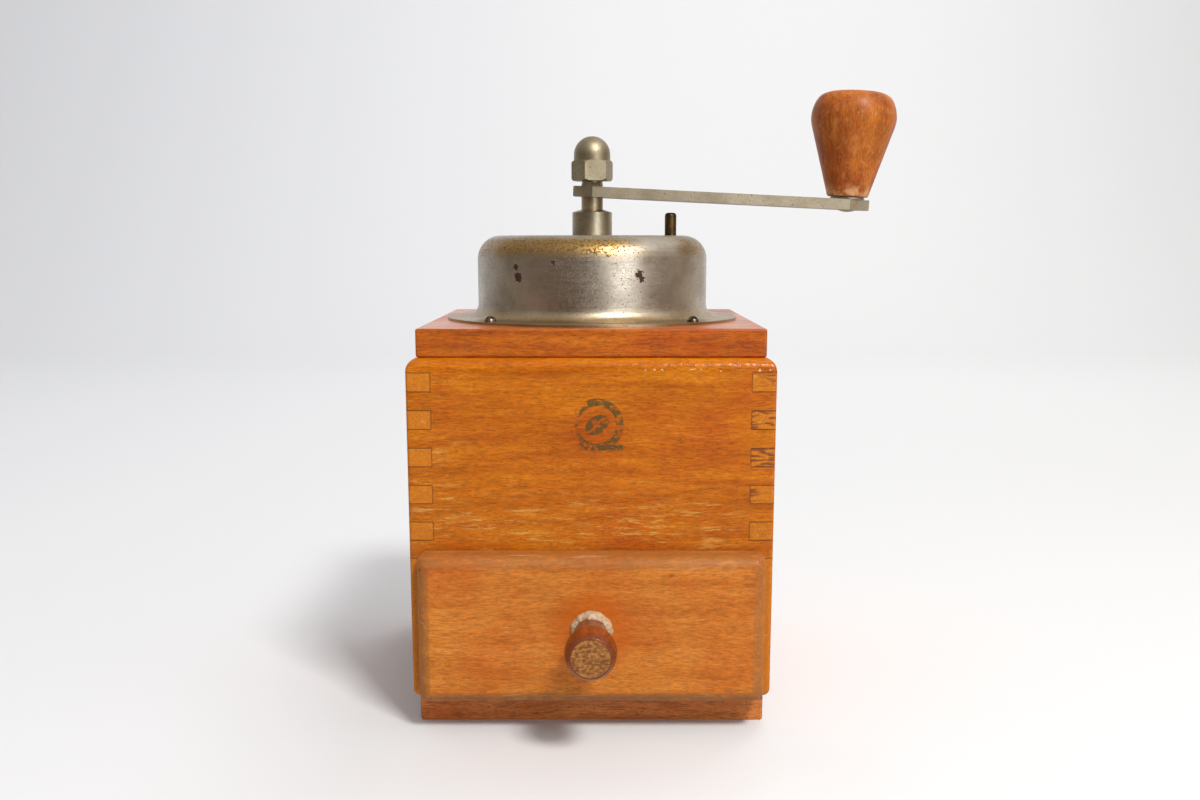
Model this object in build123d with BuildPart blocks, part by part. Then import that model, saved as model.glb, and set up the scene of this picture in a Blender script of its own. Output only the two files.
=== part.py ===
from build123d import *
import math
import os

# Box coffee mill with a crank. A finger-jointed wooden box holds a drawer, and a steel dome on
# the top board holds the beans. The crank turns a cone burr inside a ring burr under the dome.
# A screw with a knurled wheel lifts the shaft and sets the grind.
# Millimetres, +Z up. The origin is the middle of the base board's underside, and the drawer
# opens towards -Y.

# Wooden box
body_width = 128.0
body_depth = 128.0
body_height = 122.15
wall = 8.6
top_edge_round = 4.5
foot_edge_round = 3.0
upright_edge_round = 1.2
base_thickness = 9.35
base_inset = 2.15
top_board_thickness = 9.9
top_board_inset = 3.3
board_edge_round = 0.8
board_corner_round = 1.0
finger_height = 6.56
first_finger_height = 4.93
fingers_below_first = 10
finger_gap = 0.16
least_finger_height = 1.0
corner_block_width = 14.0
corner_block_height = 20.0

# Drawer
drawer_side_play = 0.5
drawer_foot_play = 0.4
drawer_headroom = 5.2
drawer_back_play = 2.0
drawer_side_thickness = 6.0
drawer_bottom_thickness = 3.0
drawer_groove_depth = 2.5
drawer_groove_height = 3.0
drawer_front_margin = 3.5
drawer_front_thickness = 10.0
drawer_front_overlap = 3.0
drawer_front_foot_gap = 1.65
drawer_front_gap = 0.4
drawer_front_round = 4.4
drawer_front_corner = 2.5
dowel_diameter = 3.5
dowel_depth_in_front = 5.0
dowel_depth_in_side = 8.0

# Drawer knob, turned from one piece with its tenon
drawer_knob_length = 28.0
drawer_knob_radius = 8.75
drawer_knob_neck_radius = 5.7
drawer_knob_foot_radius = 6.1
drawer_knob_end_radius = 6.9
drawer_knob_end_round = 0.5
drawer_knob_neck_share = 0.14
drawer_knob_flank_share = 0.44
drawer_knob_flank_radius = 6.8
drawer_knob_widest_share = 0.80
drawer_tenon_radius = 4.0
drawer_tenon_length = 7.0
glue_bead_width = 0.9
glue_bead_height = 0.7

# Hopper dome
dome_radius = 44.4
dome_height = 31.8
dome_corner = 9.0
dome_sheet = 0.9
dome_flare = 5.0
dome_flange_width = 11.8
dome_screw_inset = 4.16
filler_inner_radius = 12.0
filler_edge_margin = 1.4
filler_corner = 2.0

# Shutter under the dome's top
shutter_sheet = 0.8
shutter_gap = 0.3
shutter_travel = 90.0
shutter_lap = 5.0
shutter_edge_lap = 1.8
shutter_hub_width = 4.4
shutter_hub_overlap = 1.0
shutter_pin_diameter = 4.5
shutter_pin_height = 9.9
shutter_pin_inset = 3.6
shutter_pin_play = 0.5
shutter_pin_end_round = 1.2
rivet_head_height = 0.8
rivet_head_margin = 1.0

# Upper bearing in the dome
bush_radius = 7.7
bush_height = 9.9
bush_cone_height = 1.1
bush_spigot_radius = 6.5
bush_nut_width = 3.6
bush_nut_thickness = 1.5
bush_nut_gap = 0.3
spigot_end_length = 0.8
running_play = 0.08

# Funnel and cast burr housing
board_hole_radius = 32.0
funnel_sheet = 0.8
funnel_rim_play = 0.4
funnel_mouth_play = 0.6
funnel_mouth_radius = 20.6
funnel_depth = 12.0
housing_flange_radius = 42.0
housing_flange_thickness = 4.0
housing_barrel_radius = 27.0
housing_height = 31.5
housing_throat_radius = 22.4
housing_mouth_chamfer = 3.0
housing_fillet = 2.5
spider_hub_radius = 8.0
spider_hub_height = 7.0
spider_hub_depth = 2.5
spider_arm_width = 6.0
spider_arm_height = 5.0
spider_arm_embed = 0.5
housing_screw_circle = 37.0
screw_end_cover = 1.4

# Burrs
ring_burr_radius = 24.0
ring_burr_height = 17.0
ring_burr_recess = 1.0
ring_burr_top_bore = 15.0
ring_burr_foot_bore = 19.6
burr_foot_gap = 0.45
cone_burr_top_radius = 9.5
cone_burr_height = 13.0
ring_tooth_count = 18
cone_tooth_count = 12
tooth_depth = 2.0
grub_screw_diameter = 4.0

# Shaft, spring and grind setting
shaft_diameter = 8.3
thread_relief = 0.15
shaft_end_chamfer = 0.5
spring_wire = 1.1
spring_turns = 3
spring_clearance = 0.5
washer_thickness = 0.8
washer_width = 3.0
drive_pin_diameter = 3.0
drive_pin_length = 24.0
drive_pin_chamfer = 0.3
drive_slot_play = 0.05
drive_slot_depth = 1.5
ball_diameter = 5.0
ball_play = 0.05
ball_grip = 1.0
shaft_foot_length = 8.0
bridge_thickness = 4.0
bridge_width = 16.0
bridge_boss_radius = 8.0
bridge_boss_height = 3.0
pillar_radius = 4.0
pillar_spacing = 69.0
pillar_end_margin = 6.0
pillar_rivet_radius = 2.2
bridge_screw_diameter = 4.0
bridge_screw_head_radius = 3.6
bridge_screw_head_height = 2.4
bridge_screw_end_gap = 0.5
setting_screw_diameter = 8.0
setting_screw_stand = 5.0
setting_screw_tail = 2.0
setting_screw_chamfer = 0.6
setting_slot_width = 1.2
setting_slot_depth = 1.2
wheel_radius = 13.0
wheel_thickness = 5.0
wheel_drop = 7.0
wheel_notch_count = 24
wheel_notch_width = 1.6
wheel_click_count = 12
wheel_click_radius = 0.9
wheel_click_depth = 0.6
detent_sheet = 0.6
detent_width = 6.0
detent_tip_gap = 1.0
detent_rivet_x = -21.0
detent_knee_x = -14.0
detent_tip_x = -9.5
detent_end_margin = 3.5
detent_rivet_radius = 1.5
detent_head_margin = 1.0
detent_head_height = 1.0
detent_head_round = 0.6

# Crank
arm_slope = 2.8
arm_width = 13.0
arm_thickness = 3.9
arm_rise = 4.7
arm_tail = 7.4
arm_nose = 8.1
arm_corner_cut = 4.0
arm_edge_round = 0.4
crank_radius = 98.5
tenon_flat_width = 6.3
tenon_play = 0.05
tenon_rise = 1.2
tenon_runout = 0.4
nut_width = 14.0
nut_hex_height = 7.6
nut_turn = 10.6
nut_dome_radius = 7.0
nut_gap = 1.0
nut_dome_rise = 2.2
nut_corner_margin = 0.35
thread_length = 7.5

# Handle knob on the crank
handle_height = 39.1
handle_foot_radius = 7.75
handle_cone_top_radius = 14.6
handle_cone_height = 22.8
handle_radius = 16.1
handle_foot_round = 0.6
handle_widest_share = 0.75
handle_shoulder_share = 0.93
handle_shoulder_radius_share = 0.87
handle_crown_radius_share = 0.62
handle_crown_flat_share = 0.45
handle_crown_drop = 0.35
handle_crown_slope = 0.25
handle_pin_radius = 3.0
handle_gap = 0.3
handle_washer_radius = 6.5
handle_head_radius = 5.0
handle_head_thickness = 1.6
handle_recess_depth = 3.0
handle_recess_play = 0.5
rivet_radius = 3.6
rivet_height = 0.8

# Nails and screws
nail_radius = 0.8
nail_head_radius = 1.7
nail_head_thickness = 0.8
nail_sink = 0.3
base_nail_length = 27.0
base_nail_inset = 3.2
base_nail_spacing = 42.0
drawer_nail_length = 18.0
drawer_fixing_share = 0.55
screw_slot_width = 0.7
screw_slot_depth = 0.8
screw_head_height = 2.0
dome_screw_head_radius = 2.3
dome_screw_shank_radius = 1.3
dome_screw_length = 9.0
wood_screw_head_radius = 3.4
wood_screw_shank_radius = 1.8


# Heights and places that follow from the sizes above
body_bottom = base_thickness
body_top = body_bottom + body_height
board_top = body_top + top_board_thickness
inner_width = body_width - 2 * wall
inner_depth = body_depth - 2 * wall
front_y = -body_depth / 2
front_panel_height = first_finger_height + fingers_below_first * finger_height
front_panel_bottom = body_top - front_panel_height

dome_top = board_top + dome_height
dome_underside = dome_top - dome_sheet
flange_top = board_top + dome_sheet
flange_radius = dome_radius + dome_flange_width
dome_screw_circle = flange_radius - dome_screw_inset
filler_outer_radius = dome_radius - dome_corner - filler_edge_margin
pin_circle = filler_outer_radius - shutter_pin_inset
pin_half_angle = math.degrees(math.asin((shutter_pin_diameter / 2 + shutter_pin_play) / pin_circle))
filler_start = -pin_half_angle
filler_angle = shutter_travel + 2 * pin_half_angle
shutter_top = dome_underside - shutter_gap
shutter_bottom = shutter_top - shutter_sheet
bush_nut_top = shutter_bottom - bush_nut_gap
bush_nut_bottom = bush_nut_top - bush_nut_thickness

shaft_radius = shaft_diameter / 2
thread_radius = shaft_radius - thread_relief
running_bore = shaft_radius + running_play
housing_bottom = body_top - housing_height
flange_bottom = body_top - housing_flange_thickness
ring_burr_bottom = housing_bottom + ring_burr_recess
ring_burr_top = ring_burr_bottom + ring_burr_height
cone_burr_bottom = ring_burr_bottom
cone_burr_top = cone_burr_bottom + cone_burr_height
cone_burr_foot_radius = ring_burr_foot_bore - burr_foot_gap
hub_top = body_top - spider_hub_depth
hub_bottom = hub_top - spider_hub_height
ball_centre = cone_burr_bottom - shaft_foot_length - ball_grip
shaft_foot = ball_centre + ball_grip
screw_top = ball_centre - ball_grip
bridge_top = screw_top - setting_screw_stand
bridge_bottom = bridge_top - bridge_thickness
wheel_top = bridge_bottom - wheel_drop
wheel_bottom = wheel_top - wheel_thickness

collar_top = dome_top + bush_height
arm_height = collar_top + arm_rise
arm_angle = math.radians(arm_slope)
arm_along = Vector(math.cos(arm_angle), 0, -math.sin(arm_angle))
arm_normal = Vector(math.sin(arm_angle), 0, math.cos(arm_angle))
arm_plane = Plane(origin=(0, 0, arm_height), x_dir=arm_along, z_dir=arm_normal)
arm_top_at_shaft = arm_height + arm_thickness / math.cos(arm_angle)
tenon_top = arm_top_at_shaft + tenon_rise
nut_bottom = tenon_top + nut_gap
nut_hex_top = nut_bottom + nut_hex_height
nut_dome_centre = nut_hex_top + nut_dome_rise
handle_foot = Vector(0, 0, arm_height) + arm_along * crank_radius
handle_section = Plane(origin=handle_foot, x_dir=arm_along, z_dir=(0, -1, 0))
handle_axis = Axis(handle_foot, arm_normal)
handle_start = arm_thickness + washer_thickness + handle_gap


def rounded_board(width, depth, bottom, thickness, corner, top_round, foot_round):
    """A board lying flat, with its upright corners, top edges and foot edges rounded."""
    with BuildPart() as board:
        with BuildSketch(Plane.XY.offset(bottom)):
            Rectangle(width, depth)
        extrude(amount=thickness)
        fillet(board.edges().filter_by(Axis.Z), corner)
        fillet(board.edges().group_by(Axis.Z)[-1], top_round)
        fillet(board.edges().group_by(Axis.Z)[0], foot_round)
    return board.part


def finger_rows(bottom):
    """The (low, high) heights of the box-joint fingers, from the box's top down to bottom."""
    heights = [body_top, body_top - first_finger_height]
    while heights[-1] - finger_height > bottom + least_finger_height:
        heights.append(heights[-1] - finger_height)
    heights.append(bottom)
    return list(zip(heights[1:], heights[:-1]))


def ring_sector(plane, inner, outer, start, angle):
    """The sketch of a ring's sector between two radii, starting at an angle in degrees."""
    with BuildSketch(plane) as sketch:
        with BuildLine():
            inner_arc = CenterArc((0, 0), inner, start, angle)
            outer_arc = CenterArc((0, 0), outer, start, angle)
            Line(inner_arc @ 0, outer_arc @ 0)
            Line(inner_arc @ 1, outer_arc @ 1)
        make_face()
    return sketch.sketch


def slotted_screw(head_radius, head_height, shank_radius, length):
    """A slotted round-head screw: the head stands on the XY plane and the shank points down."""
    with BuildPart() as screw:
        with BuildSketch(Plane.XZ):
            with BuildLine():
                TangentArc((0, head_height), (head_radius, 0), tangent=(1, 0))
                Polyline(
                    (head_radius, 0),
                    (shank_radius, 0),
                    (shank_radius, 2 * shank_radius - length),
                    (0, -length),
                    (0, head_height),
                )
            make_face()
        revolve(axis=Axis.Z)
        with Locations((0, 0, head_height)):
            Box(3 * head_radius, screw_slot_width, 2 * screw_slot_depth, mode=Mode.SUBTRACT)
    return screw.part


def nail(length):
    """A flat-head nail: the head's top is on the XY plane and the point is down."""
    with BuildPart() as wire_nail:
        with BuildSketch(Plane.XZ):
            with BuildLine():
                Polyline(
                    (0, 0),
                    (nail_head_radius, 0),
                    (nail_head_radius, -nail_head_thickness),
                    (nail_radius, -nail_head_thickness),
                    (nail_radius, 3 * nail_radius - length),
                    (0, -length),
                    close=True,
                )
            make_face()
        revolve(axis=Axis.Z)
    return wire_nail.part


def corners(circle):
    """The four places at 45 degrees on a circle of this radius."""
    return PolarLocations(circle, 4, start_angle=45)


parts = []


def finish(builder, label):
    """Labels a finished piece and puts it in the list of pieces to write."""
    builder.part.label = label
    parts.append(builder.part)


# Nails and screws of the casing
base_nail = nail(base_nail_length)
with BuildPart() as base_nails:
    with Locations(Location((0, 0, nail_sink), (180, 0, 0))):
        with GridLocations(body_width - 2 * (base_inset + base_nail_inset), base_nail_spacing, 2, 3):
            add(base_nail)
finish(base_nails, "base_nails")

dome_screw = slotted_screw(
    dome_screw_head_radius, screw_head_height, dome_screw_shank_radius, dome_screw_length
)
with BuildPart() as dome_screws:
    with Locations((0, 0, flange_top)):
        with corners(dome_screw_circle):
            add(dome_screw)
finish(dome_screws, "dome_screws")

housing_screw_length = housing_flange_thickness + top_board_thickness - screw_end_cover
housing_screw = slotted_screw(
    wood_screw_head_radius, screw_head_height, wood_screw_shank_radius, housing_screw_length
)
with BuildPart() as housing_screws:
    with Locations(Location((0, 0, flange_bottom), (180, 0, 0))):
        with corners(housing_screw_circle):
            add(housing_screw)
finish(housing_screws, "housing_screws")

block_screw_length = corner_block_height + top_board_thickness - screw_end_cover
block_screw = slotted_screw(
    wood_screw_head_radius, screw_head_height, wood_screw_shank_radius, block_screw_length
)
with BuildPart() as corner_block_screws:
    with Locations(Location((0, 0, body_top - corner_block_height), (180, 0, 0))):
        with GridLocations(inner_width - corner_block_width, inner_depth - corner_block_width, 2, 2):
            add(block_screw)
finish(corner_block_screws, "corner_block_screws")


# Box boards, each one a slice of the glued and rounded box
box_block = rounded_board(
    body_width, body_depth, body_bottom, body_height, upright_edge_round, top_edge_round, foot_edge_round
)
front_rows = finger_rows(front_panel_bottom)
back_rows = finger_rows(body_bottom)
wall_x = (body_width - wall) / 2
wall_y = (body_depth - wall) / 2

with BuildPart() as front_panel:
    add(box_block)
    with Locations((0, -wall_y, body_top - front_panel_height / 2)):
        Box(body_width, wall, front_panel_height, mode=Mode.INTERSECT)
    for low, high in front_rows[1::2]:
        with Locations((0, -wall_y, (low + high) / 2)):
            with GridLocations(2 * wall_x, 0, 2, 1):
                Box(wall, wall, high - low + finger_gap, mode=Mode.SUBTRACT)
finish(front_panel, "front_panel")

with BuildPart() as back_panel:
    add(box_block)
    with Locations((0, wall_y, (body_top + body_bottom) / 2)):
        Box(body_width, wall, body_height, mode=Mode.INTERSECT)
    for low, high in back_rows[1::2]:
        with Locations((0, wall_y, (low + high) / 2)):
            with GridLocations(2 * wall_x, 0, 2, 1):
                Box(wall, wall, high - low + finger_gap, mode=Mode.SUBTRACT)
finish(back_panel, "back_panel")

with BuildPart() as left_side:
    add(box_block)
    with Locations((-wall_x, 0, (body_top + body_bottom) / 2)):
        Box(wall, body_depth, body_height, mode=Mode.INTERSECT)
    for low, high in front_rows[0::2]:
        with Locations((-wall_x, -wall_y, (low + high) / 2)):
            Box(wall, wall, high - low, mode=Mode.SUBTRACT)
    for low, high in back_rows[0::2]:
        with Locations((-wall_x, wall_y, (low + high) / 2)):
            Box(wall, wall, high - low, mode=Mode.SUBTRACT)
    add(base_nails.part, mode=Mode.SUBTRACT)
finish(left_side, "left_side")

with BuildPart() as right_side:
    mirror(left_side.part, about=Plane.YZ)
finish(right_side, "right_side")

base_block = rounded_board(
    body_width - 2 * base_inset,
    body_depth - 2 * base_inset,
    0,
    base_thickness,
    board_corner_round,
    board_edge_round,
    board_edge_round,
)
with BuildPart() as base_board:
    add(base_block)
    add(base_nails.part, mode=Mode.SUBTRACT)
    with GridLocations(body_width - 2 * (base_inset + base_nail_inset), base_nail_spacing, 2, 3):
        Cylinder(nail_head_radius, 2 * nail_sink, mode=Mode.SUBTRACT)
finish(base_board, "base_board")

lid_block = rounded_board(
    body_width - 2 * top_board_inset,
    body_depth - 2 * top_board_inset,
    body_top,
    top_board_thickness,
    board_corner_round,
    board_edge_round,
    board_edge_round,
)
with BuildPart() as top_board:
    add(lid_block)
    with Locations((0, 0, body_top)):
        Hole(board_hole_radius, depth=2 * top_board_thickness)
    for screws in (dome_screws, housing_screws, corner_block_screws):
        add(screws.part, mode=Mode.SUBTRACT)
finish(top_board, "top_board")

with BuildPart() as corner_blocks:
    with Locations((0, 0, body_top - corner_block_height / 2)):
        with GridLocations(inner_width - corner_block_width, inner_depth - corner_block_width, 2, 2):
            Box(corner_block_width, corner_block_width, corner_block_height)
    add(corner_block_screws.part, mode=Mode.SUBTRACT)
finish(corner_blocks, "corner_blocks")


# Drawer
drawer_bottom = body_bottom + drawer_foot_play
drawer_width = inner_width - 2 * drawer_side_play
drawer_side_height = front_panel_bottom - drawer_headroom - drawer_bottom
drawer_face_y = front_y - drawer_front_gap
drawer_rear_y = inner_depth / 2 - drawer_back_play
drawer_depth = drawer_rear_y - drawer_face_y
drawer_middle_y = (drawer_rear_y + drawer_face_y) / 2
drawer_side_x = (drawer_width - drawer_side_thickness) / 2
groove_bottom = drawer_bottom + drawer_groove_height
groove_top = groove_bottom + drawer_bottom_thickness
drawer_bottom_width = drawer_width - 2 * drawer_side_thickness + 2 * drawer_groove_depth
drawer_back_height = drawer_bottom + drawer_side_height - groove_top
drawer_fixing_height = groove_top + drawer_back_height / 2
drawer_fixing_spacing = drawer_fixing_share * drawer_back_height
front_board_width = body_width - 2 * drawer_front_margin
front_board_bottom = body_bottom + drawer_front_foot_gap
front_board_top = front_panel_bottom + drawer_front_overlap
front_board_height = front_board_top - front_board_bottom
knob_height = (front_board_top + front_board_bottom) / 2
knob_face_y = drawer_face_y - drawer_front_thickness

dowel_length = dowel_depth_in_front + dowel_depth_in_side
dowel_middle_y = drawer_face_y + (dowel_depth_in_side - dowel_depth_in_front) / 2
with BuildPart() as drawer_dowels:
    with Locations(Location((0, dowel_middle_y, drawer_fixing_height), (90, 0, 0))):
        with GridLocations(2 * drawer_side_x, drawer_fixing_spacing, 2, 2):
            Cylinder(dowel_diameter / 2, dowel_length)
finish(drawer_dowels, "drawer_dowels")

drawer_nail = nail(drawer_nail_length)
nail_y = drawer_rear_y - drawer_side_thickness / 2
with BuildPart() as drawer_nails:
    for side in (-1, 1):
        with Locations(Location((side * drawer_width / 2, nail_y, drawer_fixing_height), (0, side * 90, 0))):
            with GridLocations(drawer_fixing_spacing, 0, 2, 1):
                add(drawer_nail)
finish(drawer_nails, "drawer_nails")

with BuildPart() as drawer_left_side:
    with Locations((-drawer_side_x, drawer_middle_y, drawer_bottom + drawer_side_height / 2)):
        Box(drawer_side_thickness, drawer_depth, drawer_side_height)
    with Locations((0, drawer_middle_y, (groove_bottom + groove_top) / 2)):
        Box(drawer_bottom_width, drawer_depth, drawer_bottom_thickness, mode=Mode.SUBTRACT)
    for fixings in (drawer_dowels, drawer_nails):
        add(fixings.part, mode=Mode.SUBTRACT)
finish(drawer_left_side, "drawer_left_side")

with BuildPart() as drawer_right_side:
    mirror(drawer_left_side.part, about=Plane.YZ)
finish(drawer_right_side, "drawer_right_side")

with BuildPart() as drawer_back:
    with Locations((0, nail_y, drawer_fixing_height)):
        Box(drawer_width - 2 * drawer_side_thickness, drawer_side_thickness, drawer_back_height)
    add(drawer_nails.part, mode=Mode.SUBTRACT)
finish(drawer_back, "drawer_back")

with BuildPart() as drawer_floor:
    with Locations((0, drawer_middle_y, (groove_bottom + groove_top) / 2)):
        Box(drawer_bottom_width, drawer_depth, drawer_bottom_thickness)
finish(drawer_floor, "drawer_floor")

# The drawer's front board stands proud of the box, with a bold rounding round its face
with BuildPart() as drawer_front:
    with BuildSketch(Plane.XZ.offset(-drawer_face_y)):
        with Locations((0, knob_height)):
            RectangleRounded(front_board_width, front_board_height, drawer_front_corner)
    extrude(amount=drawer_front_thickness)
    fillet(drawer_front.faces().sort_by(Axis.Y)[0].edges(), drawer_front_round)
    add(drawer_dowels.part, mode=Mode.SUBTRACT)
    with Locations(Location((0, knob_face_y, knob_height), (90, 0, 0))):
        Hole(drawer_tenon_radius, depth=drawer_tenon_length)
finish(drawer_front, "drawer_front")

with BuildPart() as drawer_knob:
    with BuildSketch(Plane.XY.offset(knob_height)):
        with BuildLine():
            Polyline(
                (drawer_knob_foot_radius, knob_face_y),
                (drawer_tenon_radius, knob_face_y),
                (drawer_tenon_radius, knob_face_y + drawer_tenon_length),
                (0, knob_face_y + drawer_tenon_length),
                (0, knob_face_y - drawer_knob_length),
                (drawer_knob_end_radius, knob_face_y - drawer_knob_length),
            )
            Spline(
                (drawer_knob_foot_radius, knob_face_y),
                (drawer_knob_neck_radius, knob_face_y - drawer_knob_neck_share * drawer_knob_length),
                (drawer_knob_flank_radius, knob_face_y - drawer_knob_flank_share * drawer_knob_length),
                (drawer_knob_radius, knob_face_y - drawer_knob_widest_share * drawer_knob_length),
                (drawer_knob_end_radius, knob_face_y - drawer_knob_length),
            )
        make_face()
    revolve(axis=Axis((0, 0, knob_height), (0, 1, 0)))
    fillet(drawer_knob.edges().group_by(Axis.Y)[0], drawer_knob_end_round)
finish(drawer_knob, "drawer_knob")

# A bead of glue squeezed out round the knob's foot
with BuildPart() as knob_glue_bead:
    with BuildSketch(Plane.XY.offset(knob_height)):
        with BuildLine():
            Line(
                (drawer_knob_foot_radius, knob_face_y),
                (drawer_knob_foot_radius + glue_bead_width, knob_face_y),
            )
            TangentArc(
                (drawer_knob_foot_radius + glue_bead_width, knob_face_y),
                (drawer_knob_foot_radius, knob_face_y - glue_bead_height),
                tangent=(0, -1),
            )
            Line(
                (drawer_knob_foot_radius, knob_face_y - glue_bead_height),
                (drawer_knob_foot_radius, knob_face_y),
            )
        make_face()
    revolve(axis=Axis((0, 0, knob_height), (0, 1, 0)))
    add(drawer_knob.part, mode=Mode.SUBTRACT)
finish(knob_glue_bead, "knob_glue_bead")


# Hopper dome, spun from sheet with a flange that lies on the top board
flare_centre = (dome_radius + dome_flare, flange_top + dome_flare)
shoulder_centre = (dome_radius - dome_corner, dome_top - dome_corner)
with BuildPart() as hopper_dome:
    with BuildSketch(Plane.XZ):
        with BuildLine():
            Line((bush_spigot_radius, dome_top), (dome_radius - dome_corner, dome_top))
            CenterArc(shoulder_centre, dome_corner, 0, 90)
            Line((dome_radius, dome_top - dome_corner), (dome_radius, flange_top + dome_flare))
            CenterArc(flare_centre, dome_flare, 180, 90)
            Polyline(
                (dome_radius + dome_flare, flange_top),
                (flange_radius, flange_top),
                (flange_radius, board_top),
                (dome_radius + dome_flare, board_top),
            )
            CenterArc(flare_centre, dome_flare + dome_sheet, 180, 90)
            Line(
                (dome_radius - dome_sheet, flange_top + dome_flare),
                (dome_radius - dome_sheet, dome_top - dome_corner),
            )
            CenterArc(shoulder_centre, dome_corner - dome_sheet, 0, 90)
            Polyline(
                (dome_radius - dome_corner, dome_underside),
                (bush_spigot_radius, dome_underside),
                (bush_spigot_radius, dome_top),
            )
        make_face()
    revolve(axis=Axis.Z)
    with BuildSketch(Plane.XY.offset(dome_underside - dome_sheet)):
        with BuildLine():
            filler_inside = CenterArc((0, 0), filler_inner_radius, filler_start, filler_angle)
            filler_outside = CenterArc((0, 0), filler_outer_radius, filler_start, filler_angle)
            Line(filler_inside @ 0, filler_outside @ 0)
            Line(filler_inside @ 1, filler_outside @ 1)
        filler = make_face()
        fillet(filler.vertices(), filler_corner)
    extrude(amount=3 * dome_sheet, mode=Mode.SUBTRACT)
    add(dome_screws.part, mode=Mode.SUBTRACT)
finish(hopper_dome, "hopper_dome")

# Shutter: a hub ring and a sector that turn together under the dome's top
sector_start = filler_start - shutter_lap
sector_angle = filler_angle + 2 * shutter_lap
shutter_hub_bore = bush_spigot_radius + running_play
shutter_hub_radius = shutter_hub_bore + shutter_hub_width
shutter_radius = filler_outer_radius + shutter_edge_lap
shutter_sector = ring_sector(
    Plane.XY.offset(shutter_bottom),
    shutter_hub_bore + shutter_hub_overlap,
    shutter_radius,
    sector_start,
    sector_angle,
)
rivet_hole_radius = shutter_pin_diameter / 4
with BuildPart() as shutter_plate:
    with BuildSketch(Plane.XY.offset(shutter_bottom)):
        Circle(shutter_hub_radius)
        Circle(shutter_hub_bore, mode=Mode.SUBTRACT)
    extrude(amount=shutter_sheet)
    extrude(shutter_sector, amount=shutter_sheet)
    with Locations((pin_circle, 0, shutter_bottom)):
        Cylinder(rivet_hole_radius, 4 * shutter_sheet, mode=Mode.SUBTRACT)
finish(shutter_plate, "shutter_plate")

with BuildPart() as shutter_pin:
    with BuildSketch(Plane.XZ):
        with BuildLine():
            Polyline(
                (pin_circle, shutter_top + shutter_pin_height),
                (pin_circle, shutter_bottom - rivet_head_height),
                (pin_circle + rivet_hole_radius + rivet_head_margin, shutter_bottom - rivet_head_height),
                (pin_circle + rivet_hole_radius + rivet_head_margin, shutter_bottom),
                (pin_circle + rivet_hole_radius, shutter_bottom),
                (pin_circle + rivet_hole_radius, shutter_top),
                (pin_circle + shutter_pin_diameter / 2, shutter_top),
                (pin_circle + shutter_pin_diameter / 2, shutter_top + shutter_pin_height),
                close=True,
            )
        make_face()
    revolve(axis=Axis((pin_circle, 0, 0), (0, 0, 1)))
    fillet(shutter_pin.edges().group_by(Axis.Z)[-1], shutter_pin_end_round)
finish(shutter_pin, "shutter_pin")

with BuildPart() as upper_bush:
    with BuildSketch(Plane.XZ):
        with BuildLine():
            Polyline(
                (running_bore, collar_top),
                (bush_radius, collar_top - bush_cone_height),
                (bush_radius, dome_top),
                (bush_spigot_radius, dome_top),
                (bush_spigot_radius, bush_nut_bottom - spigot_end_length),
                (running_bore, bush_nut_bottom - spigot_end_length),
                close=True,
            )
        make_face()
    revolve(axis=Axis.Z)
finish(upper_bush, "upper_bush")

with BuildPart() as bush_nut:
    with BuildSketch(Plane.XY.offset(bush_nut_bottom)):
        RegularPolygon(bush_spigot_radius + bush_nut_width, 6, major_radius=False)
        Circle(bush_spigot_radius, mode=Mode.SUBTRACT)
    extrude(amount=bush_nut_thickness)
finish(bush_nut, "bush_nut")


# Funnel from the dome down to the burrs
funnel_rim_radius = dome_radius - dome_sheet - funnel_rim_play
funnel_shoulder_radius = board_hole_radius - funnel_mouth_play
funnel_slope = math.atan2(funnel_depth, funnel_shoulder_radius - funnel_mouth_radius)
funnel_upright_sheet = funnel_sheet / math.cos(funnel_slope)
funnel_top = board_top + funnel_sheet
with BuildPart() as hopper_funnel:
    with BuildSketch(Plane.XZ):
        with BuildLine():
            Polyline(
                (funnel_rim_radius, board_top),
                (funnel_rim_radius, funnel_top),
                (funnel_shoulder_radius, funnel_top),
                (funnel_mouth_radius, funnel_top - funnel_depth),
                (funnel_mouth_radius, funnel_top - funnel_depth - funnel_upright_sheet),
                (funnel_shoulder_radius, funnel_top - funnel_upright_sheet),
                (board_hole_radius, board_top),
                close=True,
            )
        make_face()
    revolve(axis=Axis.Z)
finish(hopper_funnel, "hopper_funnel")

# Grub screws through the barrel that hold the ring burr
grub_length = housing_barrel_radius - ring_burr_radius
with BuildPart() as grub_screw:
    Cylinder(grub_screw_diameter / 2, grub_length)
    with Locations((0, 0, grub_length / 2)):
        Box(2 * grub_screw_diameter, screw_slot_width, 2 * screw_slot_depth, mode=Mode.SUBTRACT)

with BuildPart() as grub_screws:
    with Locations((0, 0, ring_burr_bottom + ring_burr_height / 2)):
        with PolarLocations(ring_burr_radius + grub_length / 2, 3, start_angle=90):
            with Locations(Location((0, 0, 0), (0, 90, 0))):
                add(grub_screw.part)
finish(grub_screws, "grub_screws")

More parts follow.
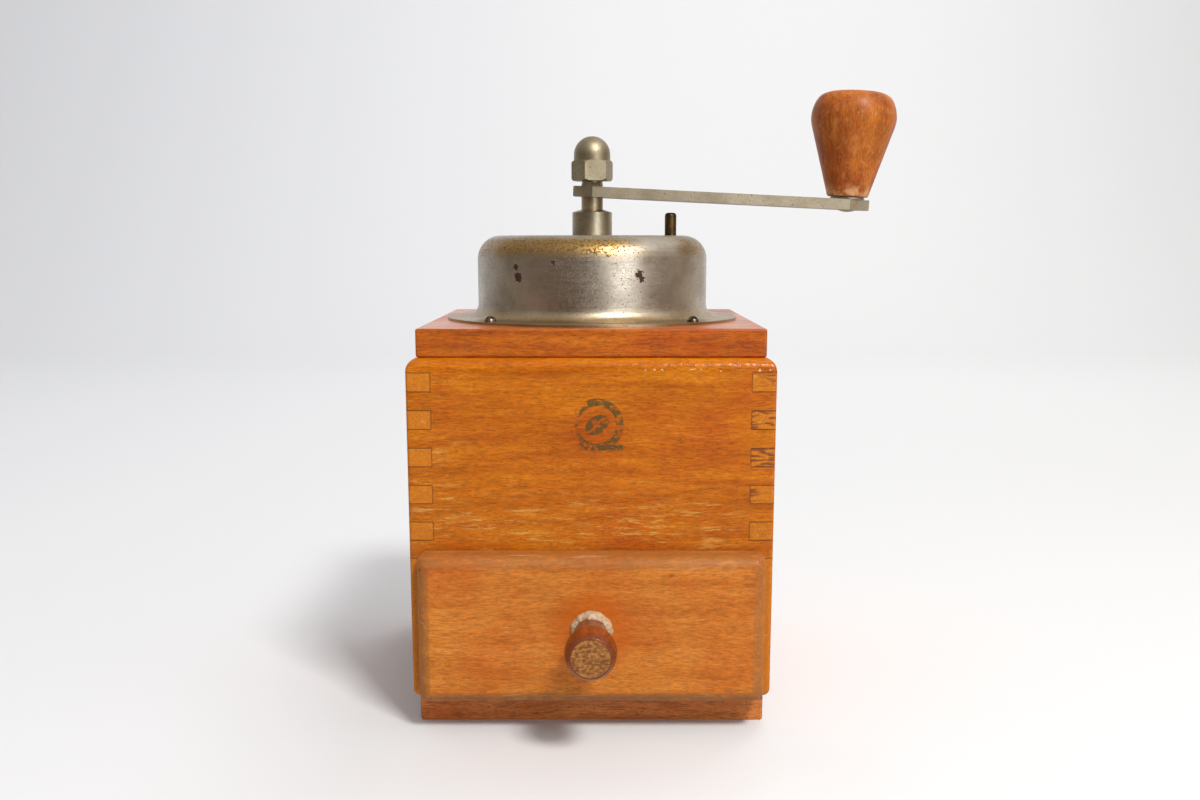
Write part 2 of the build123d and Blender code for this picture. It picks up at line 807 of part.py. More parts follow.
# Cast housing: flange under the top board, barrel round the ring burr, spider that guides the shaft
pillar_rivets = [(-pillar_spacing / 2, 0), (pillar_spacing / 2, 0)]
with BuildPart() as burr_housing:
    with BuildSketch(Plane.XZ):
        with BuildLine():
            Polyline(
                (housing_flange_radius, body_top),
                (housing_flange_radius, flange_bottom),
                (housing_barrel_radius, flange_bottom),
                (housing_barrel_radius, housing_bottom),
                (ring_burr_radius, housing_bottom),
                (ring_burr_radius, ring_burr_top),
                (housing_throat_radius, ring_burr_top),
                (housing_throat_radius, body_top - housing_mouth_chamfer),
                (housing_throat_radius + housing_mouth_chamfer, body_top),
                close=True,
            )
        corner = make_face()
        fillet(corner.vertices().sort_by_distance((housing_barrel_radius, flange_bottom))[0], housing_fillet)
    revolve(axis=Axis.Z)
    with BuildSketch(Plane.XY.offset(hub_bottom)):
        Rectangle(spider_arm_width, 2 * (housing_throat_radius + spider_arm_embed))
    extrude(amount=spider_arm_height)
    with BuildSketch(Plane.XY.offset(hub_bottom)):
        Circle(spider_hub_radius)
    extrude(amount=spider_hub_height)
    with Locations((0, 0, hub_top)):
        Hole(running_bore, depth=spider_hub_height)
    with Locations((0, 0, body_top)):
        with Locations(pillar_rivets):
            Hole(pillar_rivet_radius, depth=housing_flange_thickness)
    add(housing_screws.part, mode=Mode.SUBTRACT)
    add(grub_screws.part, mode=Mode.SUBTRACT)
finish(burr_housing, "burr_housing")

# Ring burr: upright notches bite the beans at the top and fade out towards the fine foot
tooth_width = tooth_depth * math.sqrt(2)
notch_circle = (ring_burr_top_bore + ring_burr_foot_bore - tooth_depth) / 2
with BuildPart() as ring_burr:
    with BuildSketch(Plane.XZ):
        with BuildLine():
            Polyline(
                (ring_burr_top_bore, ring_burr_top),
                (ring_burr_radius, ring_burr_top),
                (ring_burr_radius, ring_burr_bottom),
                (ring_burr_foot_bore, ring_burr_bottom),
                close=True,
            )
        make_face()
    revolve(axis=Axis.Z)
    with BuildSketch(Plane.XY.offset(ring_burr_bottom)):
        with PolarLocations(notch_circle, ring_tooth_count):
            Rectangle(tooth_width, tooth_width, rotation=45)
    extrude(amount=ring_burr_height, mode=Mode.SUBTRACT)
finish(ring_burr, "ring_burr")

# Cone burr: slanted flutes round the cone, and a slot across its foot for the drive pin
flute_slope = math.degrees(math.atan2(cone_burr_foot_radius - cone_burr_top_radius, cone_burr_height))
cone_burr_middle_radius = (cone_burr_foot_radius + cone_burr_top_radius) / 2
cone_burr_middle_height = (cone_burr_bottom + cone_burr_top) / 2
with BuildPart() as cone_burr:
    with BuildSketch(Plane.XZ):
        with BuildLine():
            Polyline(
                (shaft_radius, cone_burr_bottom),
                (cone_burr_foot_radius, cone_burr_bottom),
                (cone_burr_top_radius, cone_burr_top),
                (shaft_radius, cone_burr_top),
                close=True,
            )
        make_face()
    revolve(axis=Axis.Z)
    for flute in range(cone_tooth_count):
        turn = flute * 360 / cone_tooth_count
        out = Vector(math.cos(math.radians(turn)), math.sin(math.radians(turn)), 0)
        middle = out * (cone_burr_middle_radius + tooth_depth / 2) + Vector(0, 0, cone_burr_middle_height)
        with Locations(Location(middle, (0, -flute_slope, turn), Intrinsic.XYZ)):
            Box(tooth_depth, tooth_depth, 2 * cone_burr_height, rotation=(0, 0, 45), mode=Mode.SUBTRACT)
    with Locations((0, 0, cone_burr_bottom)):
        Box(
            2 * cone_burr_foot_radius,
            drive_pin_diameter + 2 * drive_slot_play,
            2 * drive_slot_depth,
            mode=Mode.SUBTRACT,
        )
finish(cone_burr, "cone_burr")


# Shaft from the thrust ball up to the cap nut, with a double-flat tenon for the crank
arm_hole_radius = shaft_radius + tenon_play
pin_height = cone_burr_bottom + drive_slot_depth - drive_pin_diameter / 2
with BuildPart() as main_shaft:
    with BuildSketch(Plane.XY.offset(shaft_foot)):
        Circle(shaft_radius)
    extrude(amount=tenon_top - shaft_foot)
    with BuildSketch(Plane.XY.offset(tenon_top)):
        Circle(thread_radius)
    extrude(amount=thread_length)
    chamfer(main_shaft.edges().group_by(Axis.Z)[-1], shaft_end_chamfer)
    for side in (-1, 1):
        flat_y = side * (tenon_flat_width / 2 + shaft_radius)
        with Locations(arm_plane):
            with Locations((0, flat_y, 0)):
                Box(
                    4 * shaft_radius,
                    2 * shaft_radius,
                    tenon_top - arm_height + tenon_runout,
                    align=(Align.CENTER, Align.CENTER, Align.MIN),
                    mode=Mode.SUBTRACT,
                )
    with Locations((0, 0, ball_centre)):
        Sphere(ball_diameter / 2 + ball_play, mode=Mode.SUBTRACT)
    with Locations(Location((0, 0, pin_height), (0, 90, 0))):
        Cylinder(drive_pin_diameter / 2, 4 * shaft_radius, mode=Mode.SUBTRACT)
finish(main_shaft, "main_shaft")

with BuildPart() as burr_drive_pin:
    with Locations(Location((0, 0, pin_height), (0, 90, 0))):
        Cylinder(drive_pin_diameter / 2, drive_pin_length)
    chamfer(burr_drive_pin.edges(), drive_pin_chamfer)
finish(burr_drive_pin, "burr_drive_pin")

with BuildPart() as spring_washer:
    with BuildSketch(Plane.XY.offset(cone_burr_top)):
        Circle(shaft_radius + washer_width)
        Circle(shaft_radius + tenon_play, mode=Mode.SUBTRACT)
    extrude(amount=washer_thickness)
finish(spring_washer, "spring_washer")

# Spring between the spider's hub and the cone burr; it presses the shaft down on the ball
spring_radius = shaft_radius + spring_clearance + spring_wire / 2
spring_foot = cone_burr_top + washer_thickness + spring_wire / 2
spring_height = hub_bottom - spring_wire / 2 - spring_foot
with BuildPart() as burr_spring:
    with BuildLine() as coil:
        Helix(spring_height / spring_turns, spring_height, spring_radius, center=(0, 0, spring_foot))
    with BuildSketch(Plane(origin=coil.line @ 0, z_dir=coil.line % 0)):
        Circle(spring_wire / 2)
    sweep(is_frenet=True)
finish(burr_spring, "burr_spring")

with BuildPart() as thrust_ball:
    with Locations((0, 0, ball_centre)):
        Sphere(ball_diameter / 2)
finish(thrust_ball, "thrust_ball")


# Bridge under the burrs, hung from the housing on two pillars
bridge_length = pillar_spacing + 2 * pillar_end_margin
with BuildPart() as bridge_pillars:
    with BuildSketch(Plane.XY.offset(bridge_top)):
        with Locations(pillar_rivets):
            Circle(pillar_radius)
    extrude(amount=flange_bottom - bridge_top)
    with BuildSketch(Plane.XY.offset(flange_bottom)):
        with Locations(pillar_rivets):
            Circle(pillar_rivet_radius)
    extrude(amount=housing_flange_thickness)
    with BuildSketch(Plane.XY.offset(bridge_top)):
        with Locations(pillar_rivets):
            Circle(bridge_screw_diameter / 2)
    extrude(amount=2 * bridge_screw_diameter, mode=Mode.SUBTRACT)
finish(bridge_pillars, "bridge_pillars")

bridge_screw_length = bridge_thickness + 2 * bridge_screw_diameter - bridge_screw_end_gap
bridge_screw = slotted_screw(
    bridge_screw_head_radius, bridge_screw_head_height, bridge_screw_diameter / 2, bridge_screw_length
)
with BuildPart() as bridge_screws:
    with Locations(Location((0, 0, bridge_bottom), (180, 0, 0))):
        with Locations(pillar_rivets):
            add(bridge_screw)
finish(bridge_screws, "bridge_screws")

with BuildPart() as lower_bridge:
    with BuildSketch(Plane.XY.offset(bridge_bottom)):
        RectangleRounded(bridge_length, bridge_width, bridge_width / 3)
    extrude(amount=bridge_thickness)
    with BuildSketch(Plane.XY.offset(bridge_top)):
        Circle(bridge_boss_radius)
    extrude(amount=bridge_boss_height)
    with Locations((0, 0, bridge_top + bridge_boss_height)):
        Hole(setting_screw_diameter / 2 + running_play)
    with Locations((0, 0, bridge_top)):
        with Locations(pillar_rivets):
            Hole(bridge_screw_diameter / 2)
    with Locations((detent_rivet_x, 0, bridge_top)):
        Hole(detent_rivet_radius)
finish(lower_bridge, "lower_bridge")

# Setting screw with a cup for the ball at its top and a knurled wheel near its foot
with BuildPart() as setting_screw:
    with BuildSketch(Plane.XY.offset(wheel_bottom - setting_screw_tail)):
        Circle(setting_screw_diameter / 2)
    extrude(amount=screw_top - wheel_bottom + setting_screw_tail)
    chamfer(setting_screw.edges().group_by(Axis.Z)[0], setting_screw_chamfer)
    with Locations((0, 0, ball_centre)):
        Sphere(ball_diameter / 2 + ball_play, mode=Mode.SUBTRACT)
    with Locations((0, 0, wheel_bottom - setting_screw_tail)):
        Box(2 * setting_screw_diameter, setting_slot_width, 2 * setting_slot_depth, mode=Mode.SUBTRACT)
finish(setting_screw, "setting_screw")

with BuildPart() as setting_wheel:
    with BuildSketch(Plane.XY.offset(wheel_bottom)):
        Circle(wheel_radius)
        Circle(setting_screw_diameter / 2, mode=Mode.SUBTRACT)
        with PolarLocations(wheel_radius, wheel_notch_count):
            Circle(wheel_notch_width / 2, mode=Mode.SUBTRACT)
    extrude(amount=wheel_thickness)
    with BuildSketch(Plane.XY.offset(wheel_top)):
        with PolarLocations(-detent_tip_x, wheel_click_count):
            Circle(wheel_click_radius)
    extrude(amount=-wheel_click_depth, mode=Mode.SUBTRACT)
finish(setting_wheel, "setting_wheel")

# Leaf spring that clicks on the wheel
with BuildPart() as detent_spring:
    with BuildSketch(Plane.XZ.offset(-detent_width / 2)):
        with BuildLine():
            Polyline(
                (detent_rivet_x - detent_end_margin, bridge_bottom),
                (detent_knee_x, bridge_bottom),
                (detent_tip_x, wheel_top + detent_tip_gap + detent_sheet),
                (detent_tip_x, wheel_top + detent_tip_gap),
                (detent_knee_x - detent_sheet, bridge_bottom - detent_sheet),
                (detent_rivet_x - detent_end_margin, bridge_bottom - detent_sheet),
                close=True,
            )
        make_face()
    extrude(amount=detent_width)
    with Locations((detent_rivet_x, 0, bridge_bottom)):
        Hole(detent_rivet_radius)
finish(detent_spring, "detent_spring")

with BuildPart() as detent_rivet:
    with BuildSketch(Plane.XY.offset(bridge_top)):
        with Locations((detent_rivet_x, 0)):
            Circle(detent_rivet_radius)
    extrude(amount=-bridge_thickness - detent_sheet)
    with BuildSketch(Plane.XY.offset(bridge_bottom - detent_sheet)):
        with Locations((detent_rivet_x, 0)):
            Circle(detent_rivet_radius + detent_head_margin)
    extrude(amount=-detent_head_height)
    fillet(detent_rivet.edges().group_by(Axis.Z)[0], detent_head_round)
finish(detent_rivet, "detent_rivet")


# Crank arm: a flat bar that slopes down from the shaft to the handle
with BuildPart() as crank_arm:
    with BuildSketch(arm_plane):
        with BuildLine():
            Polyline(
                (-arm_tail, arm_width / 2 - arm_corner_cut),
                (0, arm_width / 2),
                (crank_radius, arm_width / 2),
                (crank_radius + arm_nose, arm_width / 2 - arm_corner_cut),
                (crank_radius + arm_nose, -arm_width / 2 + arm_corner_cut),
                (crank_radius, -arm_width / 2),
                (0, -arm_width / 2),
                (-arm_tail, -arm_width / 2 + arm_corner_cut),
                close=True,
            )
        make_face()
    extrude(amount=arm_thickness)
    fillet(crank_arm.faces().sort_by(Axis.Z)[-1].edges(), arm_edge_round)
    with BuildSketch(Plane.XY.offset(arm_height - arm_thickness)):
        Circle(arm_hole_radius)
        Rectangle(4 * shaft_radius, tenon_flat_width + 2 * tenon_play, mode=Mode.INTERSECT)
    extrude(amount=3 * arm_thickness, mode=Mode.SUBTRACT)
    with Locations(arm_plane):
        with Locations((crank_radius, 0, arm_thickness)):
            Hole(handle_pin_radius, depth=2 * arm_thickness)
finish(crank_arm, "crank_arm")

# Cap nut: a hexagon with its corners turned back, and a round dome
with BuildPart() as cap_nut:
    with BuildSketch(Plane.XY.offset(nut_bottom)):
        RegularPolygon(nut_width / 2, 6, major_radius=False, rotation=nut_turn)
    extrude(amount=nut_hex_height)
    with BuildSketch(Plane.XZ):
        with BuildLine():
            Polyline(
                (0, nut_bottom),
                (nut_width / 2 + nut_corner_margin, nut_bottom),
                (nut_width / math.sqrt(3), nut_bottom + 2 * nut_corner_margin),
                (nut_width / math.sqrt(3), nut_hex_top - 2 * nut_corner_margin),
                (nut_width / 2 + nut_corner_margin, nut_hex_top),
                (0, nut_hex_top),
                close=True,
            )
        make_face()
    revolve(axis=Axis.Z, mode=Mode.INTERSECT)
    with BuildSketch(Plane.XZ):
        with BuildLine():
            CenterArc((0, nut_dome_centre), nut_dome_radius, 0, 90)
            Polyline(
                (nut_dome_radius, nut_dome_centre),
                (nut_dome_radius, nut_hex_top - nut_corner_margin),
                (0, nut_hex_top - nut_corner_margin),
                (0, nut_dome_centre + nut_dome_radius),
            )
        make_face()
    revolve(axis=Axis.Z)
    with BuildSketch(Plane.XY.offset(nut_bottom)):
        Circle(thread_radius)
    extrude(amount=thread_length - nut_gap, mode=Mode.SUBTRACT)
finish(cap_nut, "cap_nut")


# Turned handle knob, free on a riveted pin
handle_top = handle_start + handle_height
crown_radius = handle_crown_radius_share * handle_radius
shoulder_radius = handle_shoulder_radius_share * handle_radius
with BuildPart() as handle_knob:
    with BuildSketch(handle_section):
        with BuildLine():
            Polyline(
                (crown_radius, handle_top - handle_crown_drop),
                (handle_crown_flat_share * handle_radius, handle_top),
                (0, handle_top),
                (0, handle_start),
                (handle_foot_radius, handle_start),
                (handle_cone_top_radius, handle_start + handle_cone_height),
            )
            Spline(
                (handle_cone_top_radius, handle_start + handle_cone_height),
                (handle_radius, handle_start + handle_widest_share * handle_height),
                (shoulder_radius, handle_start + handle_shoulder_share * handle_height),
                (crown_radius, handle_top - handle_crown_drop),
                tangents=[
                    (handle_cone_top_radius - handle_foot_radius, handle_cone_height),
                    (-1, handle_crown_slope),
                ],
            )
        make_face()
    revolve(axis=handle_axis)
    fillet(handle_knob.edges().filter_by(GeomType.CIRCLE).group_by(Axis.Z)[0], handle_foot_round)
    with Locations(handle_section.location):
        with Locations(Location((0, handle_top, 0), (-90, 0, 0))):
            CounterBoreHole(
                handle_pin_radius + running_play,
                handle_head_radius + handle_recess_play,
                handle_recess_depth,
                depth=handle_height,
            )
finish(handle_knob, "handle_knob")

with BuildPart() as handle_washer:
    with BuildSketch(arm_plane.offset(arm_thickness)):
        with Locations((crank_radius, 0)):
            Circle(handle_washer_radius)
            Circle(handle_pin_radius, mode=Mode.SUBTRACT)
    extrude(amount=washer_thickness)
finish(handle_washer, "handle_washer")

pin_head_bottom = handle_top - handle_recess_depth + handle_gap
with BuildPart() as handle_pin:
    with BuildSketch(handle_section):
        with BuildLine():
            TangentArc((0, -rivet_height), (rivet_radius, 0), tangent=(1, 0))
            Polyline(
                (rivet_radius, 0),
                (handle_pin_radius, 0),
                (handle_pin_radius, pin_head_bottom),
                (handle_head_radius, pin_head_bottom),
            )
            TangentArc(
                (0, pin_head_bottom + handle_head_thickness),
                (handle_head_radius, pin_head_bottom),
                tangent=(1, 0),
            )
            Line((0, pin_head_bottom + handle_head_thickness), (0, -rivet_height))
        make_face()
    revolve(axis=handle_axis)
finish(handle_pin, "handle_pin")


os.makedirs("parts", exist_ok=True)
for piece in parts:
    export_step(piece, f"parts/{piece.label}.step")
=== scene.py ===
import math
import bpy
import numpy as np
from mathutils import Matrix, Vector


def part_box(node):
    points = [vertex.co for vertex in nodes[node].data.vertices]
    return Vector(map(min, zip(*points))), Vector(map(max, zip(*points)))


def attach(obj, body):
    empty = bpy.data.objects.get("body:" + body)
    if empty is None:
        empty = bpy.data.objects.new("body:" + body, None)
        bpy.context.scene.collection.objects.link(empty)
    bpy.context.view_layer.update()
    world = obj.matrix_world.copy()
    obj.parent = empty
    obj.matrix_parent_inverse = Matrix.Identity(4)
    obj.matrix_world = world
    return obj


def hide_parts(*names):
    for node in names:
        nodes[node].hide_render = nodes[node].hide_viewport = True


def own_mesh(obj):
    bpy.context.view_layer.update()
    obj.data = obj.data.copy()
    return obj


# Looks of a box coffee mill: varnished beech boards, a spun steel hopper with its nickel worn and
# rusting, a nickelled crank and turned beech knobs. Metres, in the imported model's own frame.

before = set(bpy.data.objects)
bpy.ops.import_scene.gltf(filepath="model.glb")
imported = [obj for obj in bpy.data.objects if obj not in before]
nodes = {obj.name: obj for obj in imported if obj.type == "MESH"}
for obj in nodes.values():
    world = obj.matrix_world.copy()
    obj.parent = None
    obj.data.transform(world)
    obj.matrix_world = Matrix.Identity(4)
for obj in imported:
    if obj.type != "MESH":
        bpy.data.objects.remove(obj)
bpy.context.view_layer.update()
MM = 1000.0


def linear(colour):
    """The linear RGBA of an sRGB hex colour."""
    srgb = np.array([int(colour[i:i + 2], 16) / 255 for i in (1, 3, 5)])
    rgb = np.where(srgb <= 0.04045, srgb / 12.92, ((srgb + 0.055) / 1.055) ** 2.4)
    return (*rgb.tolist(), 1.0)


def put(tree, kind, inputs=None, stops=None, **settings):
    """Adds a node: settings are its properties, inputs its values or the sockets that feed it."""
    node = tree.nodes.new("ShaderNode" + kind)
    for name, value in settings.items():
        setattr(node, name, value)
    for key, value in (inputs or {}).items():
        if isinstance(value, bpy.types.NodeSocket):
            tree.links.new(value, node.inputs[key])
        else:
            node.inputs[key].default_value = value
    for place, (position, colour) in enumerate(stops or ()):
        ramp = node.color_ramp.elements
        stop = ramp[place] if place < 2 else ramp.new(position)
        stop.position = position
        stop.color = linear(colour) if isinstance(colour, str) else (colour, colour, colour, 1.0)
    return node


def new_material(name):
    """An empty node material and its tree."""
    material = bpy.data.materials.new(name)
    material.use_nodes = True
    material.node_tree.nodes.clear()
    return material, material.node_tree


def finish_material(tree, inputs, height, bump_mm, constants):
    """Joins a Principled shader, with a bump of bump_mm millimetres, to the output."""
    bump = put(tree, "Bump", {"Height": height, "Distance": bump_mm / MM, "Strength": 1.0})
    shader = put(tree, "BsdfPrincipled", {**inputs, **constants, "Normal": bump.outputs[0]})
    put(tree, "OutputMaterial", {"Surface": shader.outputs[0]})


def dress(material, *names):
    """Gives CAD nodes their material."""
    for name in names:
        nodes[name].material_slots[0].material = material


def maths(tree, first, second, operation="MULTIPLY"):
    """Two numbers put together by one sum: their product, unless another sum is named."""
    return put(tree, "Math", {0: first, 1: second}, operation=operation).outputs[0]


def size_of(tree, value):
    """A number without its sign."""
    return put(tree, "Math", {0: value}, operation="ABSOLUTE").outputs[0]


def band(tree, value, start, stop, low=0.0, high=1.0):
    """A smooth step of value: low at start, high at stop."""
    return put(tree, "MapRange", {0: value, 1: start, 2: stop, 3: low, 4: high},
               interpolation_type="SMOOTHSTEP").outputs[0]


def over(tree, share, under, colour, blend="MIX"):
    """One colour laid over another by a share."""
    return put(tree, "Mix", {"Factor": share, 6: under, 7: colour},
               data_type="RGBA", blend_type=blend).outputs[2]


def coordinate(tree, place, axis):
    """One coordinate of a place."""
    return put(tree, "SeparateXYZ", {0: place}).outputs[axis]


def distance(tree, place, centre):
    """How far a place is from a centre."""
    return put(tree, "VectorMath", {0: place, 1: centre}, operation="DISTANCE").outputs["Value"]


def stretched(tree, place, scale):
    """A place scaled along each axis: less than one draws a pattern out, more packs it closer."""
    return put(tree, "Mapping", {0: place, "Scale": scale}).outputs[0]


def noise(tree, place, scale, detail, roughness=0.5):
    """Soft noise about one half; scale is how many lumps there are to one unit of the place."""
    return put(tree, "TexNoise", {"Vector": place, "Scale": scale, "Detail": detail,
                                  "Roughness": roughness}).outputs[0]


def mask_box(tree, place, low, high, soft):
    """White inside a box in millimetres, fading over soft millimetres; None leaves an axis open."""
    axes = put(tree, "SeparateXYZ", {0: place})
    mask = None
    for axis, (start, stop) in enumerate(zip(low, high)):
        if start is None:
            continue
        up = band(tree, axes.outputs[axis], start - soft, start + soft)
        down = band(tree, axes.outputs[axis], stop + soft, stop - soft)
        both = maths(tree, up, down)
        mask = both if mask is None else maths(tree, mask, both)
    return mask


# ---------------------------------------------------------------- wood

VARNISH_IOR = 1.5
WOOD_BUMP = 0.05
STREAKS_ACROSS = (-20.0, 40.0)
STREAKS_UP = (60.0, 66.0)
GRAIN_TURN = {"X": (0, 0, 0), "Y": (0, 0, math.radians(-90)), "Z": (0, math.radians(90), 0)}


def varnished_beech(name, grain, tones, seed, marks=None, ends=None, gloss=0.36, fleck=0.75, coat=0.08):
    """Beech under an old amber varnish: long soft figure, short dark flecks, darker ends."""
    material, tree = new_material(name)
    object_place = put(tree, "TexCoord").outputs["Object"]
    place = stretched(tree, object_place, (MM, MM, MM))
    turned = put(tree, "Mapping", {0: place, "Rotation": GRAIN_TURN[grain], "Location": seed}).outputs[0]
    sway = put(tree, "TexNoise", {"Vector": turned, "Scale": 0.014, "Detail": 2.0}).outputs["Color"]
    swayed = put(tree, "VectorMath", {0: sway, 1: (0.0, 7.0, 7.0), 2: turned},
                 operation="MULTIPLY_ADD").outputs[0]
    # figure: soft bands about 4 mm across and 40 mm long
    long_place = stretched(tree, swayed, (0.10, 1.0, 1.0))
    figure = noise(tree, long_place, 0.22, 6.0, 0.7)
    # grain: lines about 0.5 mm across and 3 mm long
    fine_place = stretched(tree, swayed, (0.16, 1.0, 1.0))
    fine = noise(tree, fine_place, 1.9, 5.0, 0.8)
    # flecks: the rays of beech, about 1.5 mm long and 0.4 mm wide
    fleck_place = stretched(tree, swayed, (0.45, 1.3, 1.3))
    cells = put(tree, "TexVoronoi", {"Vector": fleck_place, "Scale": 1.0, "Randomness": 1.0})
    fleck_size = put(tree, "SeparateColor", {0: cells.outputs["Color"]}).outputs[0]
    fleck_reach = band(tree, fleck_size, 0.15, 1.0, 0.05, 0.42)
    flecks = band(tree, cells.outputs["Distance"], fleck_reach, 0.0)
    # old varnish: cloudy patches some 30 mm wide
    cloud = noise(tree, turned, 0.03, 3.0, 0.55)

    colour = put(tree, "ValToRGB", {0: figure}, stops=[
        (0.28, tones["dark"]), (0.72, tones["light"]), (0.50, tones["middle"])]).outputs[0]
    lines = band(tree, fine, 0.34, 0.64, 0.66, 1.16)
    colour = put(tree, "VectorMath", {0: colour, "Scale": lines}, operation="SCALE").outputs[0]
    colour = over(tree, maths(tree, flecks, fleck), colour, linear(tones["fleck"]))
    clouded = band(tree, cloud, 0.40, 0.68, 0.0, 0.45)
    colour = over(tree, clouded, colour, linear(tones["cloud"]), "MULTIPLY")
    rough = band(tree, cloud, 0.3, 0.7, gloss - 0.05, gloss + 0.10)
    height = maths(tree, maths(tree, fine, 0.6), maths(tree, flecks, -0.5), "ADD")

    if ends:
        # end grain: faces square to the grain, porous, with slanting dark streaks in some places
        facing = put(tree, "SeparateXYZ", {0: put(tree, "TexCoord").outputs["Normal"]})
        along = size_of(tree, facing.outputs["XYZ".index(grain)])
        end = band(tree, along, 0.55, 0.85)
        slant = put(tree, "Mapping", {0: place, "Rotation": (0, math.radians(40), 0),
                                      "Scale": (0.3, 1.0, 1.5), "Location": seed}).outputs[0]
        streak = noise(tree, slant, 0.7, 3.0)
        pores = noise(tree, place, 2.4, 3.0)
        spread = noise(tree, place, 0.045, 1.0)
        end_colour = put(tree, "ValToRGB", {0: pores}, stops=[
            (0.36, ends["middle"]), (0.64, ends["light"])]).outputs[0]
        dark = maths(tree, band(tree, streak, 0.46, 0.58), band(tree, spread, 0.40, 0.56, 0.25, 0.85))
        # the streaks are on the right-hand boards, above the drawer
        split = put(tree, "SeparateXYZ", {0: place})
        dark = maths(tree, dark, band(tree, split.outputs[0], *STREAKS_ACROSS, 0.12, 1.0))
        dark = maths(tree, dark, band(tree, split.outputs[2], *STREAKS_UP, 0.1, 1.0))
        end_colour = over(tree, dark, end_colour, linear(ends["dark"]))
        colour = over(tree, end, colour, end_colour)
        rough = maths(tree, rough, maths(tree, end, 0.12), "ADD")

    if marks:
        colour, rough, height = marks(tree, place, swayed, colour, rough, height)
    finish_material(tree, {"Base Color": colour, "Roughness": rough}, height, WOOD_BUMP, {
        "IOR": VARNISH_IOR, "Coat Weight": coat, "Coat Roughness": 0.2, "Specular IOR Level": 0.2})
    return material


AMBER = {"light": "#CC7A12", "middle": "#BA650B", "dark": "#A05006",
         "fleck": "#7E3A08", "cloud": "#EAB070"}
AMBER_ENDS = {"light": "#CA7818", "middle": "#B46610", "dark": "#70381C"}

# the box joints, in millimetres: a finger's height, the top of the highest one, how far from the
# middle of the box a finger starts, and where the front panel ends above the drawer
FINGER = 6.56
FINGER_TOP = 126.57
FINGER_START = 55.4
FRONT_PANEL_FOOT = 60.97
JOINT_LINE = 0.32
JOINT_SHADE = 0.6
JOINT_FADE = 0.2


def joint_lines(tree, place, colour, width=JOINT_LINE):
    """A colour with thin dark lines round the fingers of the box joints, at the upright corners."""
    split = put(tree, "SeparateXYZ", {0: place})
    sides = [size_of(tree, split.outputs[axis]) for axis in (0, 1)]
    row = maths(tree, maths(tree, FINGER_TOP, split.outputs[2], "SUBTRACT"), FINGER, "DIVIDE")
    within = put(tree, "Math", {0: row, 1: 1.0, 2: 0.0}, operation="WRAP").outputs[0]
    from_middle = size_of(tree, maths(tree, within, 0.5, "SUBTRACT"))
    level = band(tree, from_middle, 0.5 - width / FINGER, 0.5 - 0.4 * width / FINGER)
    corner = maths(tree, band(tree, sides[0], FINGER_START - JOINT_FADE, FINGER_START),
                   band(tree, sides[1], FINGER_START - JOINT_FADE, FINGER_START))
    pair = put(tree, "Math", {0: row, 1: 2.0, 2: 0.0}, operation="WRAP").outputs[0]
    side_row = put(tree, "Math", {0: pair, 1: 1.0}, operation="LESS_THAN").outputs[0]
    panel_row = maths(tree, 1.0, side_row, "SUBTRACT")
    lines = maths(tree, level, corner)
    for side, rows in zip(sides, (side_row, panel_row)):
        gap = size_of(tree, maths(tree, side, FINGER_START, "SUBTRACT"))
        upright = maths(tree, band(tree, gap, width, 0.4 * width), rows)
        lines = maths(tree, lines, upright, "MAXIMUM")
    below = band(tree, split.outputs[2], FINGER_TOP + 0.5 * width, FINGER_TOP)
    # the front panel ends above the drawer, the back one at the foot
    drawer_top = maths(tree, band(tree, split.outputs[1], 0.0, 1.0), FRONT_PANEL_FOOT, "MULTIPLY")
    foot = maths(tree, FRONT_PANEL_FOOT - JOINT_FADE, drawer_top, "SUBTRACT")
    above = put(tree, "Math", {0: split.outputs[2], 1: foot}, operation="GREATER_THAN").outputs[0]
    lines = maths(tree, lines, maths(tree, below, above))
    return over(tree, maths(tree, lines, JOINT_SHADE), colour, linear("#5E3412"))


def board_edges(tree, place, low, high, reach, axes):
    """White near the edges of a board, counted from its box in millimetres."""
    split = put(tree, "SeparateXYZ", {0: place})
    nearest = None
    for axis in axes:
        for edge in (low[axis] * MM, high[axis] * MM):
            gap = maths(tree, split.outputs[axis], edge, "SUBTRACT")
            gap = size_of(tree, gap)
            nearest = gap if nearest is None else maths(tree, nearest, gap, "MINIMUM")
    return band(tree, nearest, reach, 0.0)


def scuffs(tree, swayed, threshold, stretch=0.12, scale=0.55):
    """Pale scratches where the varnish has gone, lying along the grain."""
    place = stretched(tree, swayed, (stretch, 1.0, 1.0))
    bare = noise(tree, place, scale, 6.0, 0.78)
    return band(tree, bare, threshold, threshold + 0.10)


# the stamp, in millimetres: its middle across and up, its ring, and the bean's and bar's sizes
STAMP_CENTRE = (2.0, 108.5)
STAMP_RADIUS = 9.4
STAMP_RING = 3.0
STAMP_SOFT = 0.4
BEAN_LEAN = math.radians(35)
BEAN_LONG = 0.045
BEAN_WIDE = 0.10
BAR_LEFT, BAR_RIGHT = -5, 9
BAR_LOW, BAR_HIGH = -9.0, -6.9


